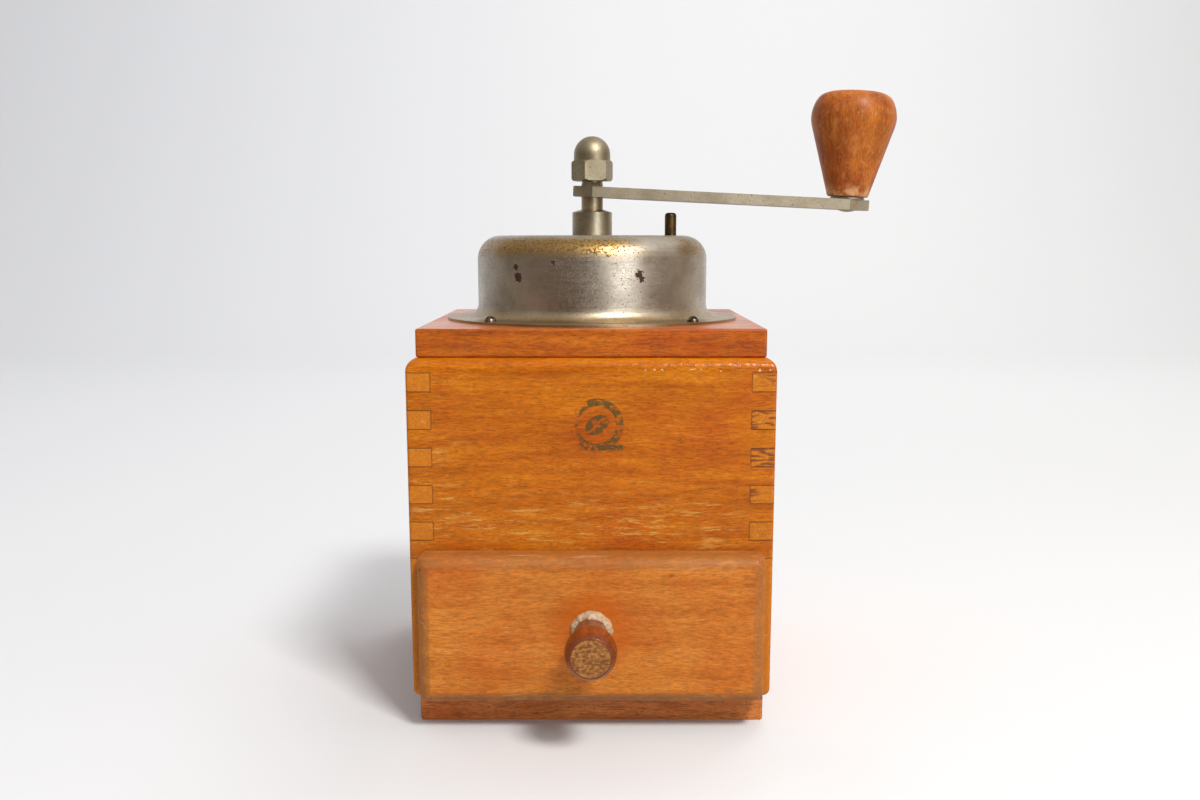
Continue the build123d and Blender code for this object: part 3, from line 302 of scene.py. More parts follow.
def worn_stamp(tree, place):
    """A worn ink stamp: a broken ring round a coffee bean, with a short bar under it."""
    split = put(tree, "SeparateXYZ", {0: place})
    across = maths(tree, split.outputs[0], STAMP_CENTRE[0], "SUBTRACT")
    up = maths(tree, split.outputs[2], STAMP_CENTRE[1], "SUBTRACT")
    square = maths(tree, maths(tree, across, across), maths(tree, up, up), "ADD")
    radius = put(tree, "Math", {0: square}, operation="SQRT").outputs[0]
    inner = STAMP_RADIUS - STAMP_RING
    ring = maths(tree, band(tree, radius, inner, inner + STAMP_SOFT),
                 band(tree, radius, STAMP_RADIUS, STAMP_RADIUS - STAMP_SOFT))
    # the bean leans; its slit is a gentle curve
    cosine, sine = math.cos(BEAN_LEAN), math.sin(BEAN_LEAN)
    along = maths(tree, maths(tree, across, cosine), maths(tree, up, sine), "ADD")
    side = maths(tree, maths(tree, up, cosine), maths(tree, across, sine), "SUBTRACT")
    oval = maths(tree, maths(tree, maths(tree, along, along), BEAN_LONG),
                 maths(tree, maths(tree, side, side), BEAN_WIDE), "ADD")
    bean = band(tree, oval, 1.0, 0.85)
    slit_line = put(tree, "Math", {0: maths(tree, along, 0.65)}, operation="SINE").outputs[0]
    slit = size_of(tree, maths(tree, side, maths(tree, slit_line, 0.5), "SUBTRACT"))
    bean = maths(tree, bean, band(tree, slit, 0.25, 0.55))
    bar = mask_box(tree, place, (STAMP_CENTRE[0] + BAR_LEFT, None, STAMP_CENTRE[1] + BAR_LOW),
                   (STAMP_CENTRE[0] + BAR_RIGHT, None, STAMP_CENTRE[1] + BAR_HIGH), 0.25)
    shape = maths(tree, ring, maths(tree, bean, bar, "MAXIMUM"), "MAXIMUM")
    # the ink is worn, most of all on the left
    wear = noise(tree, place, 0.42, 5.0, 0.68)
    faded = band(tree, across, -9.0, -2.0, 0.12, 0.0)
    return maths(tree, shape, band(tree, maths(tree, wear, faded, "SUBTRACT"), 0.43, 0.50))


# where the front panel's varnish has gone, in millimetres: low down, and beside the left joints
LOW_SCUFFS = ((-48, None, 62), (50, None, 82))
LEFT_SCUFFS = ((-63, None, 64), (-46, None, 104))
FRONT_FACE = -64.0
SAG_START, SAG_END = 125.0, 129.0
GLOSS_START, GLOSS_END = 125.5, 128.0
# where the painted highlights lie on the top edge's varnish, in millimetres: up the edge and across it
GLINTS_LOW, GLINTS_HIGH = (126.9, 127.3), (128.1, 127.7)
GLINTS_ACROSS = (-10.0, 40.0)


def front_panel_marks(tree, place, swayed, colour, rough, height):
    """The stamp, pale scuffs low on the panel and by the left joints, grime in the joints, painted top-edge
    glints.
    """
    ink = maths(tree, worn_stamp(tree, place), 0.85)
    # the wood is redder round the stamp
    from_stamp = distance(tree, place, (STAMP_CENTRE[0], FRONT_FACE, STAMP_CENTRE[1] - 2))
    halo = band(tree, from_stamp, 13.0, 5.0, 0.0, 0.30)
    colour = over(tree, halo, colour, linear("#D06A4A"), "MULTIPLY")
    colour = over(tree, ink, colour, linear("#4C4420"))
    low_zone = mask_box(tree, place, *LOW_SCUFFS, 9)
    left_zone = mask_box(tree, place, *LEFT_SCUFFS, 7)
    zones = maths(tree, low_zone, left_zone, "MAXIMUM")
    pale = maths(tree, scuffs(tree, swayed, 0.53), zones)
    strip = maths(tree, scuffs(tree, swayed, 0.60, 0.10, 0.5), 0.5)
    pale = maths(tree, pale, strip, "MAXIMUM")
    colour = over(tree, maths(tree, pale, 0.52), colour, linear("#DAB25C"))
    colour = joint_lines(tree, place, colour)
    rough = maths(tree, rough, maths(tree, pale, 0.2), "ADD")
    # varnish that ran and sagged along the top edge, with painted highlights on it towards the right
    level = coordinate(tree, place, 2)
    drops = noise(tree, place, 0.55, 2.0)
    sags = maths(tree, band(tree, level, SAG_START, SAG_END), maths(tree, drops, 4.0))
    height = maths(tree, maths(tree, height, maths(tree, pale, -0.5), "ADD"), sags, "ADD")
    rough = maths(tree, rough, band(tree, level, GLOSS_START, GLOSS_END, 1.0, 0.45))
    # painted highlight: pale glints on the varnish drops along the top edge, towards the right
    right_end = band(tree, coordinate(tree, place, 0), *GLINTS_ACROSS)
    ridge = maths(tree, band(tree, level, *GLINTS_LOW), band(tree, level, *GLINTS_HIGH))
    painted_glints = maths(tree, band(tree, drops, 0.60, 0.67), maths(tree, ridge, right_end))
    colour = over(tree, maths(tree, painted_glints, 0.6), colour, linear("#FFE6C4"))
    return colour, rough, height


def plain_board_marks(tree, place, swayed, colour, rough, height):
    """A few pale scratches along the grain."""
    pale = maths(tree, scuffs(tree, swayed, 0.58, 0.10, 0.5), 0.5)
    colour = over(tree, pale, colour, linear("#D9A868"))
    colour = joint_lines(tree, place, colour)
    return colour, maths(tree, rough, maths(tree, pale, 0.2), "ADD"), height


# the drawer front, in millimetres: how far in its darker edge reaches (painted shade on the rounding), how
# high the painted shade along its foot goes, the halo's two rims
DRAWER_EDGE = 5.6
DRAWER_FOOT = 9.0
KNOB_HALO = (19.0, 7.0)


def drawer_front_marks(tree, place, swayed, colour, rough, height):
    """Darker edges, painted shade on their rounding and deepest at the bottom, an amber halo round the knob
    and a few dark specks.
    """
    low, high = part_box("drawer_front")
    # painted shade: the edges darkened over their rounding, blotchy, deepest towards the bottom
    edge = board_edges(tree, place, low, high, DRAWER_EDGE, (0, 2))
    edge = maths(tree, band(tree, edge, 0.08, 0.24), band(tree, edge, 0.0, 1.0, 0.7, 1.0))
    blotches = noise(tree, place, 0.25, 5.0, 0.7)
    edge = maths(tree, edge, band(tree, blotches, 0.3, 0.6, 0.5, 1.0))
    level = coordinate(tree, place, 2)
    foot_shade = band(tree, level, low[2] * MM + DRAWER_FOOT, low[2] * MM, 0.6, 0.95)
    colour = over(tree, maths(tree, edge, foot_shade), colour, linear("#84552C"))
    centre = (0.0, low[1] * MM, (low[2] + high[2]) / 2 * MM)
    reach = distance(tree, place, centre)
    colour = over(tree, band(tree, reach, *KNOB_HALO, 0.0, 0.6), colour, linear("#C25A0C"))
    speck_place = stretched(tree, swayed, (0.05, 0.075, 0.075))
    speck = put(tree, "TexVoronoi", {"Vector": speck_place, "Scale": 1.0}).outputs["Distance"]
    specks = band(tree, speck, 0.085, 0.03, 0.0, 0.6)
    colour = over(tree, specks, colour, linear("#5A2C12"))
    worn = maths(tree, scuffs(tree, swayed, 0.56, 0.1, 0.6), edge)
    colour = over(tree, maths(tree, worn, 0.5), colour, linear("#C9A27A"))
    return colour, maths(tree, rough, maths(tree, edge, 0.15), "ADD"), height


def dark_board_marks(tree, place, swayed, colour, rough, height):
    """Grime that has gathered in the grain of the lid and the foot."""
    grime = scuffs(tree, swayed, 0.52, 0.1, 0.5)
    colour = over(tree, maths(tree, grime, 0.4), colour, linear("#5E3218"))
    return colour, rough, height


# ---------------------------------------------------------------- metal

def aged_metal(name, tones, rough, seed, lines=None, rust=None, brass=0.0, bump=0.02):
    """Nickel plate gone dull: fine pitting, cloudy tarnish, rust specks and brass showing through."""
    material, tree = new_material(name)
    object_place = put(tree, "TexCoord").outputs["Object"]
    place = put(tree, "Mapping", {0: object_place, "Scale": (MM, MM, MM),
                                  "Location": seed}).outputs[0]
    cloud = noise(tree, place, 0.07, 5.0, 0.6)
    grit = noise(tree, place, 1.6, 4.0, 0.7)
    colour = put(tree, "ValToRGB", {0: cloud}, stops=[
        (0.34, tones["dark"]), (0.66, tones["light"])]).outputs[0]
    colour = over(tree, band(tree, grit, 0.45, 0.72, 0.0, 0.5), colour, linear(tones["dark"]))
    roughness = band(tree, grit, 0.3, 0.7, rough - 0.06, rough + 0.10)
    metallic = 1.0
    height = maths(tree, grit, 0.5)
    if brass:
        worn = noise(tree, place, 0.16, 6.0, 0.7)
        colour = over(tree, band(tree, worn, 0.56, 0.66, 0.0, brass), colour, linear("#B08A4E"))
    if lines:
        # spun or drawn lines: fine streaks along the given direction
        streak = noise(tree, stretched(tree, place, lines), 1.0, 3.0)
        roughness = maths(tree, roughness, band(tree, streak, 0.3, 0.7, -0.03, 0.04), "ADD")
        height = maths(tree, height, maths(tree, streak, 0.14), "ADD")
    if rust:
        spots, stain, metallic = rust(tree, object_place, place)
        colour = over(tree, stain, colour, linear("#9E7C3E"))
        colour = over(tree, spots, colour, linear("#361906"))
        roughness = maths(tree, roughness, maths(tree, spots, 0.4), "ADD")
        height = maths(tree, height, maths(tree, spots, 1.2), "ADD")
    finish_material(tree, {"Base Color": colour, "Roughness": roughness, "Metallic": metallic},
                    height, bump, {})
    return material


# the rust on the dome, in millimetres: the shoulder below its top, the flange above its foot, the
# middle of the worst patch across, deep and below the top, and each pit's centre and size
SHOULDER_LOW, SHOULDER_HIGH = (9.5, 5.0), (0.1, 2.2)
FLANGE = (6.5, 1.5)
WORST = (-14.0, -40.0, 5)
WORST_REACH = (36.0, 20.0)
PITS = (((-26.6, -35.6, 158.4), 2.5), ((-27.4, -35.0, 162.0), 1.5), ((-13.3, -42.4, 163.8), 1.4),
        ((17.0, -41.0, 159.4), 2.2), ((18.0, -40.6, 157.4), 1.5), ((34.0, 28.6, 157.0), 2.4),
        ((-20.0, 39.6, 161.0), 1.9), ((43.0, 10.0, 153.0), 1.6))
RAGGED = 3.6


def dome_rust(tree, object_place, place):
    """Golden stain and brown specks, thick round the shoulder and the flange, thin on the wall."""
    true_place = stretched(tree, object_place, (MM, MM, MM))
    level = coordinate(tree, true_place, 2)
    low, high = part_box("hopper_dome")
    bottom, top = low[2] * MM, high[2] * MM
    shoulder = maths(tree, band(tree, level, *(top - depth for depth in SHOULDER_LOW)),
                     band(tree, level, *(top - depth for depth in SHOULDER_HIGH)))
    foot = band(tree, level, *(bottom + rise for rise in FLANGE))
    patches = noise(tree, true_place, 0.035, 2.0)
    patches = maths(tree, band(tree, patches, 0.44, 0.60), 0.6)
    # the worst of it is on the front, a little to the left
    worst = distance(tree, true_place, (*WORST[:2], top - WORST[2]))
    patches = maths(tree, patches, band(tree, worst, *WORST_REACH), "MAXIMUM")
    sprinkle = noise(tree, place, 0.7, 7.0, 0.78)
    mottled = band(tree, sprinkle, 0.30, 0.50)
    stain = maths(tree, maths(tree, shoulder, patches), maths(tree, mottled, 0.95))
    stain = maths(tree, stain, maths(tree, maths(tree, foot, mottled), 0.6), "MAXIMUM")
    # specks: under a millimetre, crowded on the shoulder
    speck_noise = noise(tree, place, 1.25, 3.0, 0.6)
    crowd = maths(tree, maths(tree, shoulder, patches), 0.11)
    speck_start = maths(tree, 0.625, crowd, "SUBTRACT")
    specks = band(tree, speck_noise, speck_start, maths(tree, speck_start, 0.05, "ADD"))
    # a few pits about 3 mm wide with ragged rims
    ragged = put(tree, "TexNoise", {"Vector": place, "Scale": 1.1, "Detail": 4.0}).outputs["Color"]
    pit_place = put(tree, "VectorMath", {0: ragged, 1: (RAGGED,) * 3, 2: true_place},
                    operation="MULTIPLY_ADD").outputs[0]
    pits = None
    for centre, size in PITS:
        aim = tuple(value + RAGGED / 2 for value in centre)
        gap = distance(tree, pit_place, aim)
        pit = band(tree, gap, size * 0.9, size * 0.6)
        pits = pit if pits is None else maths(tree, pits, pit, "MAXIMUM")
    spots = maths(tree, maths(tree, specks, 0.8), pits, "MAXIMUM")
    metallic = maths(tree, 1.0, spots, "SUBTRACT")
    return spots, stain, metallic


def light_rust(tree, object_place, place):
    """A thin scatter of rust specks with a faint stain round them."""
    speck_noise = noise(tree, place, 1.3, 3.0)
    spots = band(tree, speck_noise, 0.66, 0.72, 0.0, 0.8)
    stain = band(tree, speck_noise, 0.52, 0.68, 0.0, 0.45)
    return spots, stain, maths(tree, 1.0, maths(tree, spots, 0.8), "SUBTRACT")


def plain_finish(name, tones, rough, metallic, scale=0.6, bump=0.03, coat=0.0):
    """A plain worked surface, mottled between two tones."""
    material, tree = new_material(name)
    object_place = put(tree, "TexCoord").outputs["Object"]
    place = stretched(tree, object_place, (MM, MM, MM))
    grit = noise(tree, place, scale, 5.0, 0.65)
    colour = put(tree, "ValToRGB", {0: grit}, stops=[
        (0.36, tones[0]), (0.64, tones[1])]).outputs[0]
    roughness = band(tree, grit, 0.3, 0.7, rough - 0.08, rough + 0.08)
    finish_material(tree, {"Base Color": colour, "Roughness": roughness}, grit, bump,
                    {"Metallic": metallic, "Coat Weight": coat})
    return material


# ---------------------------------------------------------------- dressing the CAD nodes

# amber beech: the box's boards, glowing orange where the varnish is thick
dress(varnished_beech("front_beech", "X", AMBER, (40, 11, 3), front_panel_marks, AMBER_ENDS), "front_panel")
dress(varnished_beech("back_beech", "X", AMBER, (310, 70, 55), plain_board_marks, AMBER_ENDS), "back_panel")
dress(varnished_beech("left_beech", "Y", AMBER, (120, 33, 20), plain_board_marks, AMBER_ENDS), "left_side")
dress(varnished_beech("right_beech", "Y", AMBER, (520, 90, 71), plain_board_marks, AMBER_ENDS),
      "right_side")

LID = {"light": "#C67018", "middle": "#B45C10", "dark": "#98460A",
       "fleck": "#5E2C08", "cloud": "#E2A064"}
LID_ENDS = {"light": "#A25C26", "middle": "#8E4E1C", "dark": "#743A16"}
# painted light: the foot's beech is paler than the boards' to make up for the shade it sits in under the
# overhang
FOOT_PAINTED_LIGHT = {"light": "#DC8A46", "middle": "#CC783A", "dark": "#AE602A",
        "fleck": "#6E3616", "cloud": "#E4A878"}
DRAWER = {"light": "#D48638", "middle": "#C67628", "dark": "#B2621C",
          "fleck": "#84440F", "cloud": "#E8AE74"}
# redder, grimier beech above and below the box, the foot's tones raised as painted light against the shade
# under the overhang, and a duller drawer front whose darker edges are painted shade
dress(varnished_beech("lid_beech", "X", LID, (230, 15, 80), dark_board_marks, LID_ENDS, coat=0.25),
      "top_board")
dress(varnished_beech("foot_beech_painted_light", "X", FOOT_PAINTED_LIGHT, (90, 140, 10), dark_board_marks, LID_ENDS, gloss=0.42),
      "base_board")
dress(varnished_beech("drawer_beech", "X", DRAWER, (15, 60, 37), drawer_front_marks, AMBER_ENDS,
                      gloss=0.42, fleck=0.5), "drawer_front")


# the drawer's knob, in millimetres: the edge of its bare nose, and how deep the dark rim goes
NOSE_EDGE = (6.7, 6.3)
KNOB_RIM = (3.0, 1.2)


def drawer_knob_marks(tree, place, swayed, colour, rough, height):
    """Bare end grain on the knob's flat nose, with dark pores, and a dark rim round it."""
    low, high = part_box("drawer_knob")
    depth = coordinate(tree, place, 1)
    middle = (0.0, low[1] * MM, (low[2] + high[2]) / 2 * MM)
    reach = distance(tree, place, middle)
    nose = band(tree, reach, *NOSE_EDGE)
    pores = put(tree, "TexVoronoi", {"Vector": place, "Scale": 1.1}).outputs["Distance"]
    mottle = noise(tree, place, 0.8, 5.0)
    straw = put(tree, "ValToRGB", {0: mottle}, stops=[(0.38, "#7E4A20"), (0.62, "#AC763C")]).outputs[0]
    rings = noise(tree, stretched(tree, place, (0.35, 0.35, 1.6)), 0.9, 3.0)
    straw = over(tree, band(tree, rings, 0.50, 0.62, 0.0, 0.6), straw, linear("#5E3216"))
    straw = over(tree, band(tree, pores, 0.30, 0.12, 0.0, 0.75), straw, linear("#4A2614"))
    colour = over(tree, nose, colour, straw)
    rim = maths(tree, band(tree, depth, *(low[1] * MM + back for back in KNOB_RIM)), nose, "SUBTRACT")
    colour = over(tree, maths(tree, rim, 0.35), colour, linear("#4E2412"))
    return colour, maths(tree, rough, maths(tree, nose, 0.3), "ADD"), height


# the crank's knob: how high the rubbed band goes, in millimetres, and its rings' radians to one
HANDLE_FOOT = (6.0, 1.5)
LATHE_RINGS = 5.2


def handle_marks(tree, place, swayed, colour, rough, height):
    """Lathe rings, a pale rubbed band at the foot and darker handled patches."""
    low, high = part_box("handle_knob")
    level = coordinate(tree, place, 2)
    rubbed = noise(tree, place, 0.35, 5.0, 0.7)
    foot = maths(tree, band(tree, level, *(low[2] * MM + rise for rise in HANDLE_FOOT)),
                 band(tree, rubbed, 0.40, 0.58))
    colour = over(tree, maths(tree, foot, 0.7), colour, linear("#D8A878"))
    patches = noise(tree, place, 0.06, 3.0)
    colour = over(tree, band(tree, patches, 0.46, 0.62, 0.0, 0.35), colour, linear("#9A5A34"), "MULTIPLY")
    nicks = band(tree, rubbed, 0.52, 0.72, 0.0, 0.26)
    colour = over(tree, nicks, colour, linear("#D9A46C"))
    rings = put(tree, "Math", {0: maths(tree, level, LATHE_RINGS)}, operation="SINE").outputs[0]
    return colour, rough, maths(tree, height, maths(tree, rings, 0.12), "ADD")


TURNED = {"light": "#9C4E1E", "middle": "#863E16", "dark": "#682A0E",
          "fleck": "#3E1A0A", "cloud": "#C4845A"}
HANDLE = {"light": "#CC8030", "middle": "#B86820", "dark": "#944C12",
          "fleck": "#6E360E", "cloud": "#CC8E58"}
# turned beech: the drawer's knob dark and shiny from hands, the crank's knob rubbed nearly matt
dress(varnished_beech("drawer_knob_beech", "Y", TURNED, (70, 20, 90), drawer_knob_marks,
                      gloss=0.30, coat=0.2), "drawer_knob")
dress(varnished_beech("handle_beech", "Z", HANDLE, (33, 44, 12), handle_marks, gloss=0.46, coat=0.06),
      "handle_knob")

BARE = {"light": "#B98A57", "middle": "#A87847", "dark": "#8E6238",
        "fleck": "#5E3D1E", "cloud": "#B99872"}
# bare beech: pale and dull, never varnished, inside the drawer and the box
dress(varnished_beech("bare_beech", "Y", BARE, (12, 8, 66), gloss=0.6, fleck=0.6, coat=0.0),
      "drawer_left_side", "drawer_right_side", "drawer_floor", "corner_blocks", "drawer_dowels")
dress(varnished_beech("bare_beech_back", "X", BARE, (52, 18, 6), gloss=0.6, fleck=0.6, coat=0.0),
      "drawer_back")

# nickel gone dull: satin on the dome, drawn along on the arm, with brass and rust showing through
DULL_NICKEL = {"light": "#BDB5A8", "dark": "#968D80"}
COLLAR_NICKEL = {"light": "#AEA694", "dark": "#8C8473"}
CRANK_NICKEL = {"light": "#B4AC9A", "dark": "#968E7C"}
NUT_NICKEL = {"light": "#AAA28C", "dark": "#88806C"}
ROUND_THE_DOME = (0.05, 0.05, 2.4)
ROUND_THE_COLLAR = (0.1, 0.1, 2.0)
ALONG_THE_ARM = (0.12, 1.8, 1.8)
dress(aged_metal("dome_nickel", DULL_NICKEL, 0.36, (5, 9, 2), ROUND_THE_DOME, dome_rust), "hopper_dome")
dress(aged_metal("collar_nickel", COLLAR_NICKEL, 0.38, (1, 2, 3), ROUND_THE_COLLAR, light_rust),
      "upper_bush", "bush_nut")
dress(aged_metal("crank_nickel", CRANK_NICKEL, 0.50, (8, 1, 4), ALONG_THE_ARM, light_rust, brass=0.6),
      "crank_arm", "handle_pin", "handle_washer")
dress(aged_metal("nut_nickel", NUT_NICKEL, 0.48, (3, 6, 1), None, light_rust, brass=0.5), "cap_nut")
dress(aged_metal("inner_sheet", DULL_NICKEL, 0.45, (9, 9, 9), None, light_rust),
      "shutter_plate", "hopper_funnel")

# steel: grey on the shaft, browned on the pin, nearly black on the screws
SHAFT_STEEL = {"light": "#AFA28C", "dark": "#80745F"}
BROWNED_STEEL = {"light": "#5C4A35", "dark": "#35291D"}
SCREW_STEEL = {"light": "#6A6058", "dark": "#3A322C"}
dress(aged_metal("shaft_steel", SHAFT_STEEL, 0.42, (2, 2, 7), None, light_rust),
      "main_shaft", "burr_drive_pin", "spring_washer", "thrust_ball", "setting_screw", "bridge_pillars")
dress(aged_metal("browned_pin", BROWNED_STEEL, 0.42, (4, 4, 2), None, light_rust), "shutter_pin")
dress(aged_metal("dark_screws", SCREW_STEEL, 0.30, (7, 3, 1), None, light_rust),
      "dome_screws", "housing_screws", "corner_block_screws", "bridge_screws", "grub_screws",
      "base_nails", "drawer_nails", "detent_rivet")
dress(plain_finish("spring_steel", ("#3A3C40", "#5C5E62"), 0.35, 1.0), "burr_spring", "detent_spring")

# the mill inside: a rough black casting, grey hard iron burrs and a yellow brass wheel
dress(plain_finish("black_casting", ("#1C1B1A", "#34312E"), 0.65, 0.3, scale=0.9, bump=0.15),
      "burr_housing", "lower_bridge")
dress(plain_finish("burr_iron", ("#4A4744", "#7C7872"), 0.42, 1.0, scale=1.2, bump=0.05),
      "ring_burr", "cone_burr")
dress(plain_finish("wheel_brass", ("#8A6A34", "#B8924E"), 0.38, 1.0), "setting_wheel")


# ---------------------------------------------------------------- new pieces

def closed_ring(name, points, material, body):
    """A mesh over a grid of points (rows, columns, 3), joined up both ways into a closed ring."""
    rows, columns = points.shape[:2]
    index = np.arange(rows * columns).reshape(rows, columns)
    across = np.roll(index, -1, axis=1)
    faces = np.stack([index, across, np.roll(across, -1, axis=0), np.roll(index, -1, axis=0)], axis=-1)
    faces = faces.reshape(-1, 4)
    mesh = bpy.data.meshes.new(name)
    mesh.from_pydata(points.reshape(-1, 3).tolist(), [], faces.tolist())
    mesh.update()
    mesh.polygons.foreach_set("use_smooth", [True] * len(mesh.polygons))
    piece = bpy.data.objects.new(name, mesh)
    bpy.context.scene.collection.objects.link(piece)
    mesh.materials.append(material)
    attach(piece, body)
    return piece


# the bead of glue, in metres: how far it creeps along the neck and how wide it is, least and more
GLUE_INSET = 0.0009
GLUE_BURIED = 0.0001
GLUE_LIP = 0.0005
GLUE_CORE = 0.0012
GLUE_REACH = (0.0007, 0.0030)
GLUE_WIDTH = (0.0008, 0.0008)
GLUE_STEPS_AROUND, GLUE_STEPS_OVER = 144, 14
GLUE_THICKEST = 1.2


def glue_bead():
    """Dried glue round the drawer knob's foot. Each section starts on the drawer front, rounds over
    and ends on the neck; how far it creeps along the neck wanders round it, most at the top right."""
    low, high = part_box("knob_glue_bead")
    centre_x, centre_z = (low[0] + high[0]) / 2, (low[2] + high[2]) / 2
    wall_y = high[1]
    foot = (high[0] - low[0]) / 2 - GLUE_INSET
    around = np.linspace(0, 2 * np.pi, GLUE_STEPS_AROUND, endpoint=False)
    top_right = 0.5 + 0.5 * np.cos(around - GLUE_THICKEST)
    lump = 0.10 * np.sin(5 * around + 0.4) + 0.07 * np.sin(11 * around + 2.0) + 0.04 * np.sin(23 * around)
    reach = GLUE_REACH[0] + GLUE_REACH[1] * np.clip(top_right ** 1.5 + lump, 0.0, 1.2)
    width = GLUE_WIDTH[0] + GLUE_WIDTH[1] * np.clip(top_right + 2 * lump, 0.0, 1.0)
    turn = np.linspace(0, np.pi / 2, GLUE_STEPS_OVER)[:, None]
    radius = foot - GLUE_LIP + (width + GLUE_LIP) * np.cos(turn)
    depth = wall_y + GLUE_BURIED - (reach + GLUE_BURIED) * np.sin(turn)
    points = np.stack([centre_x + radius * np.cos(around), depth,
                       centre_z + radius * np.sin(around)], axis=-1)
    inner = points[-1:].copy()
    inner[..., 0] = centre_x + (foot - GLUE_CORE) * np.cos(around)
    inner[..., 2] = centre_z + (foot - GLUE_CORE) * np.sin(around)
    back = inner.copy()
    back[..., 1] = wall_y + GLUE_BURIED
    return np.concatenate([points, inner, back], axis=0)


# dried glue: chalky straw, lumpy, with a faint shine
glue = plain_finish("dried_glue", ("#A4845E", "#D0BA9C"), 0.5, 0.0, scale=0.7, bump=0.3, coat=0.2)
bead = closed_ring("knob_glue", glue_bead(), glue, "drawer")
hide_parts("knob_glue_bead")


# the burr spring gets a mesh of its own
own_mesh(bpy.data.objects["burr_spring"])


# ---------------------------------------------------------------- studio

def studio_material(name, colour, rough):
    """Matt painted paper for the floor and backdrop, darkened towards the right as painted shade."""
    material, tree = new_material(name)
    place = put(tree, "TexCoord").outputs["Object"]
    cloud = noise(tree, place, 1.5, 2.0)
    shade = over(tree, band(tree, cloud, 0.3, 0.7, 0.0, 0.03), linear(colour), linear("#D0D0D4"))
    # painted shade: the paper darker towards the right, lighter towards the left
    across = coordinate(tree, place, 0)
    shade = over(tree, band(tree, across, 0.5, -0.9, 0.0, 1.0), shade, linear("#E0E1E4"))
    shader = put(tree, "BsdfPrincipled", {"Base Color": shade, "Roughness": rough,
                                          "Specular IOR Level": 0.1})
    put(tree, "OutputMaterial", {"Surface": shader.outputs[0]})
    return material


# the sweep, in metres: the floor's near and far end, the bend's radius, the wall's top, half its width
FLOOR_NEAR, FLOOR_FAR = -2.2, 1.3
BEND = 0.8
BEND_STEPS = 24
WALL_TOP = 2.6
HALF_WIDTH = 3.5


def backdrop():
    """Floor and wall in one sweep: flat, then a quarter circle, then upright."""
    turn = np.linspace(0, np.pi / 2, BEND_STEPS)
    y = np.concatenate([[FLOOR_NEAR], FLOOR_FAR + BEND * np.sin(turn), [FLOOR_FAR + BEND]])
    z = np.concatenate([[0.0], BEND - BEND * np.cos(turn), [WALL_TOP]])
    x = np.array([-HALF_WIDTH, HALF_WIDTH])
    return np.stack([np.broadcast_to(x[None, :], (len(y), 2)), np.broadcast_to(y[:, None], (len(y), 2)),
                     np.broadcast_to(z[:, None], (len(y), 2))], axis=-1)


sweep_points = backdrop()
sweep_mesh = bpy.data.meshes.new("studio_sweep")
row = np.arange(len(sweep_points) - 1)
sweep_faces = np.stack([2 * row, 2 * row + 1, 2 * row + 3, 2 * row + 2], axis=-1)
sweep_mesh.from_pydata(sweep_points.reshape(-1, 3).tolist(), [], sweep_faces.tolist())
sweep_mesh.polygons.foreach_set("use_smooth", [True] * len(sweep_mesh.polygons))
sweep = bpy.data.objects.new("studio_sweep", sweep_mesh)
bpy.context.scene.collection.objects.link(sweep)
sweep_mesh.materials.append(studio_material("studio_paper", "#DBDBDB", 0.9))
sweep.visible_glossy = False


# what polished metal sees, by azimuth: 0 straight in front, positive to the right
ROUND = ((-180, "#F4F4F6"), (-147, "#E8EAF0"), (-122, "#C8C4C4"), (-104, "#A09C90"), (-85, "#968E80"),
         (-55, "#85756A"), (-20, "#6E5A4B"), (5, "#6A5849"), (45, "#A8988A"), (66, "#A4968A"),
         (80, "#A09080"), (95, "#AC9C8A"), (108, "#C0AE9C"), (124, "#F0E6DC"), (147, "#FFFFFF"),
         (180, "#F4F4F6"))


# the window: its azimuth in degrees, and how it fades at its sides, sill and head
WINDOW_AZIMUTH = 30
WINDOW_EDGE = (0.955, 0.985)
WINDOW_SILL = (-0.30, -0.10)
WINDOW_HEAD = (0.85, 0.60)
ROOM_STRENGTH = 1.1
WINDOW_STRENGTH = 2.2
SOFT_STRENGTH = (0.42, 0.78)


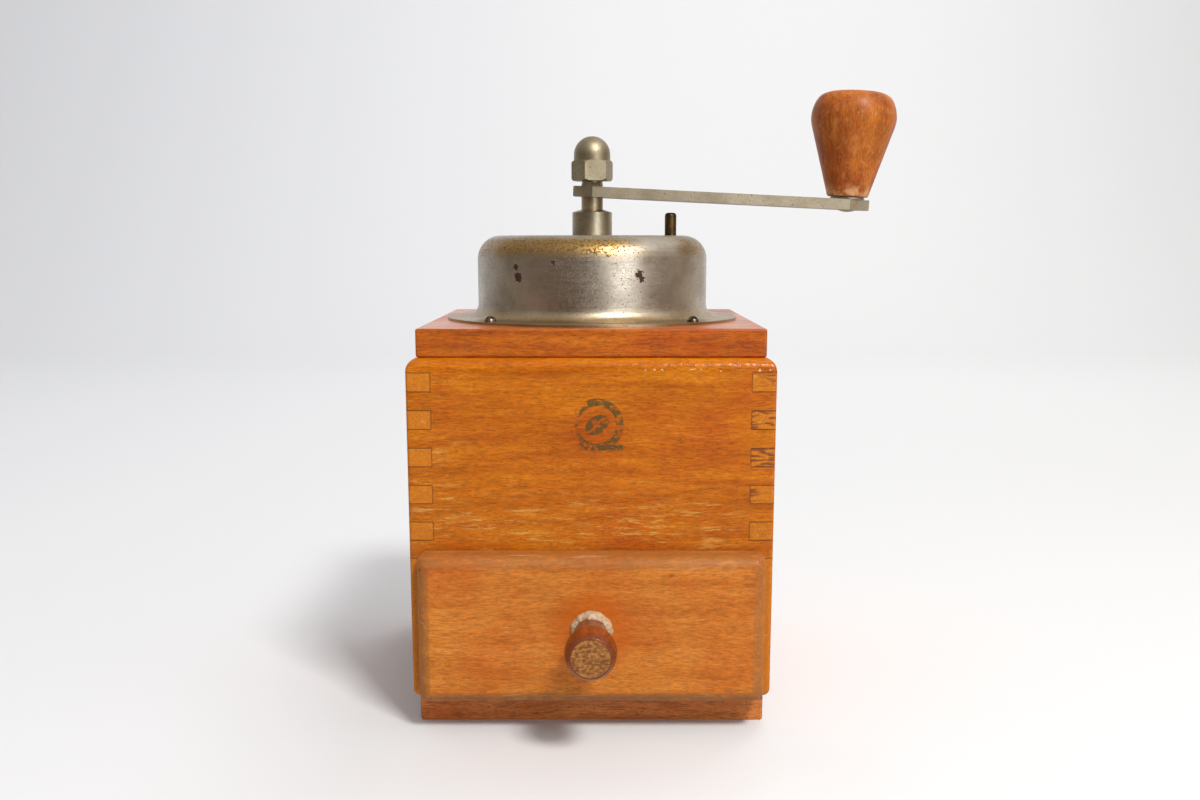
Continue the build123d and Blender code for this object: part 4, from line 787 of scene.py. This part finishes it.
def room():
    """The light round the mill. Matt surfaces get a plain soft light from everywhere; polished ones
    see a dim room in front, a tall window to the right of it and pale walls behind."""
    world = bpy.data.worlds.new("studio_room")
    bpy.context.scene.world = world
    world.use_nodes = True
    tree = world.node_tree
    tree.nodes.clear()
    way = put(tree, "TexCoord").outputs["Generated"]
    split = put(tree, "SeparateXYZ", {0: way})
    right, up = split.outputs[0], split.outputs[2]
    front = maths(tree, split.outputs[1], -1.0)
    azimuth = put(tree, "Math", {0: right, 1: front}, operation="ARCTAN2").outputs[0]
    turn = put(tree, "MapRange", {0: azimuth, 1: -math.pi, 2: math.pi}).outputs[0]
    # the first two stops are the ends of the ramp, which it already has
    ends_first = sorted(ROUND, key=lambda stop: stop[0] not in (-180, 180))
    ring = put(tree, "ValToRGB", {0: turn}, stops=[
        ((angle + 180) / 360, value) for angle, value in ends_first]).outputs[0]
    ceiling = over(tree, band(tree, right, -0.6, 0.6), linear("#C4BEB4"), linear("#F8F5F0"))
    seen = over(tree, band(tree, up, 0.25, 0.80), ring, ceiling)
    seen = over(tree, band(tree, up, -0.25, -0.70), seen, linear("#D8D4CE"))
    flank = (math.sin(math.radians(WINDOW_AZIMUTH)), -math.cos(math.radians(WINDOW_AZIMUTH)), 0.0)
    level = put(tree, "VectorMath", {0: way, 1: (1, 1, 0)}, operation="MULTIPLY").outputs[0]
    level = put(tree, "VectorMath", {0: level}, operation="NORMALIZE").outputs[0]
    facing = put(tree, "VectorMath", {0: level, 1: flank}, operation="DOT_PRODUCT").outputs["Value"]
    window = maths(tree, band(tree, facing, *WINDOW_EDGE), band(tree, up, *WINDOW_SILL))
    window = maths(tree, window, band(tree, up, *WINDOW_HEAD))
    bright = maths(tree, ROOM_STRENGTH, maths(tree, window, WINDOW_STRENGTH), "ADD")
    seen = over(tree, window, seen, linear("#FFFFFF"))
    mirror = put(tree, "Background", {"Color": seen, "Strength": bright})
    soft = put(tree, "Background", {"Color": linear("#FCFBFB"), "Strength": band(
        tree, right, -1.0, 1.0, *SOFT_STRENGTH)})
    paper = put(tree, "Background", {"Color": linear("#EAEAEC"), "Strength": 1.0})
    rays = put(tree, "LightPath")
    for ray, other in (("Is Glossy Ray", mirror), ("Is Camera Ray", paper)):
        soft = put(tree, "MixShader", {0: rays.outputs[ray], 1: soft.outputs[0], 2: other.outputs[0]})
    put(tree, "OutputWorld", {"Surface": soft.outputs[0]})


room()


def soft_light(name, place, aim, size, watts, colour):
    """A square area light that points at a place."""
    lamp = bpy.data.lights.new(name, "AREA")
    lamp.shape = "SQUARE"
    lamp.size = size
    lamp.energy = watts
    lamp.color = linear(colour)[:3]
    holder = bpy.data.objects.new(name, lamp)
    bpy.context.scene.collection.objects.link(holder)
    holder.location = place
    way = np.array(aim) - np.array(place)
    pitch = math.acos(-way[2] / np.linalg.norm(way))
    holder.rotation_euler = (pitch, 0.0, math.atan2(way[1], way[0]) - math.pi / 2)


soft_light("key_window", place=(0.40, -0.70, 1.02), aim=(0.0, 0.0, 0.08), size=0.26, watts=12.5,
           colour="#FFFDFA")
soft_light("backdrop_lamp", place=(0.5, 0.8, 1.7), aim=(0.1, 2.0, 0.5), size=0.8, watts=19.0,
           colour="#FFFFFF")
bpy.data.objects["backdrop_lamp"].visible_glossy = False

# the camera: where it stands, in metres, and how far below level it looks
CAMERA_PLACE = (0.00303, -0.47776, 0.17146)
CAMERA_DIP = 9.72
camera = bpy.data.cameras.new("camera")
camera.lens = 36.33
camera.sensor_width = 36.0
camera.shift_y = 0.0396
camera_holder = bpy.data.objects.new("camera", camera)
bpy.context.scene.collection.objects.link(camera_holder)
camera_holder.location = CAMERA_PLACE
camera_holder.rotation_euler = (math.radians(90 - CAMERA_DIP), 0.0, 0.0)
bpy.context.scene.camera = camera_holder
bpy.context.scene.view_settings.view_transform = "Standard"
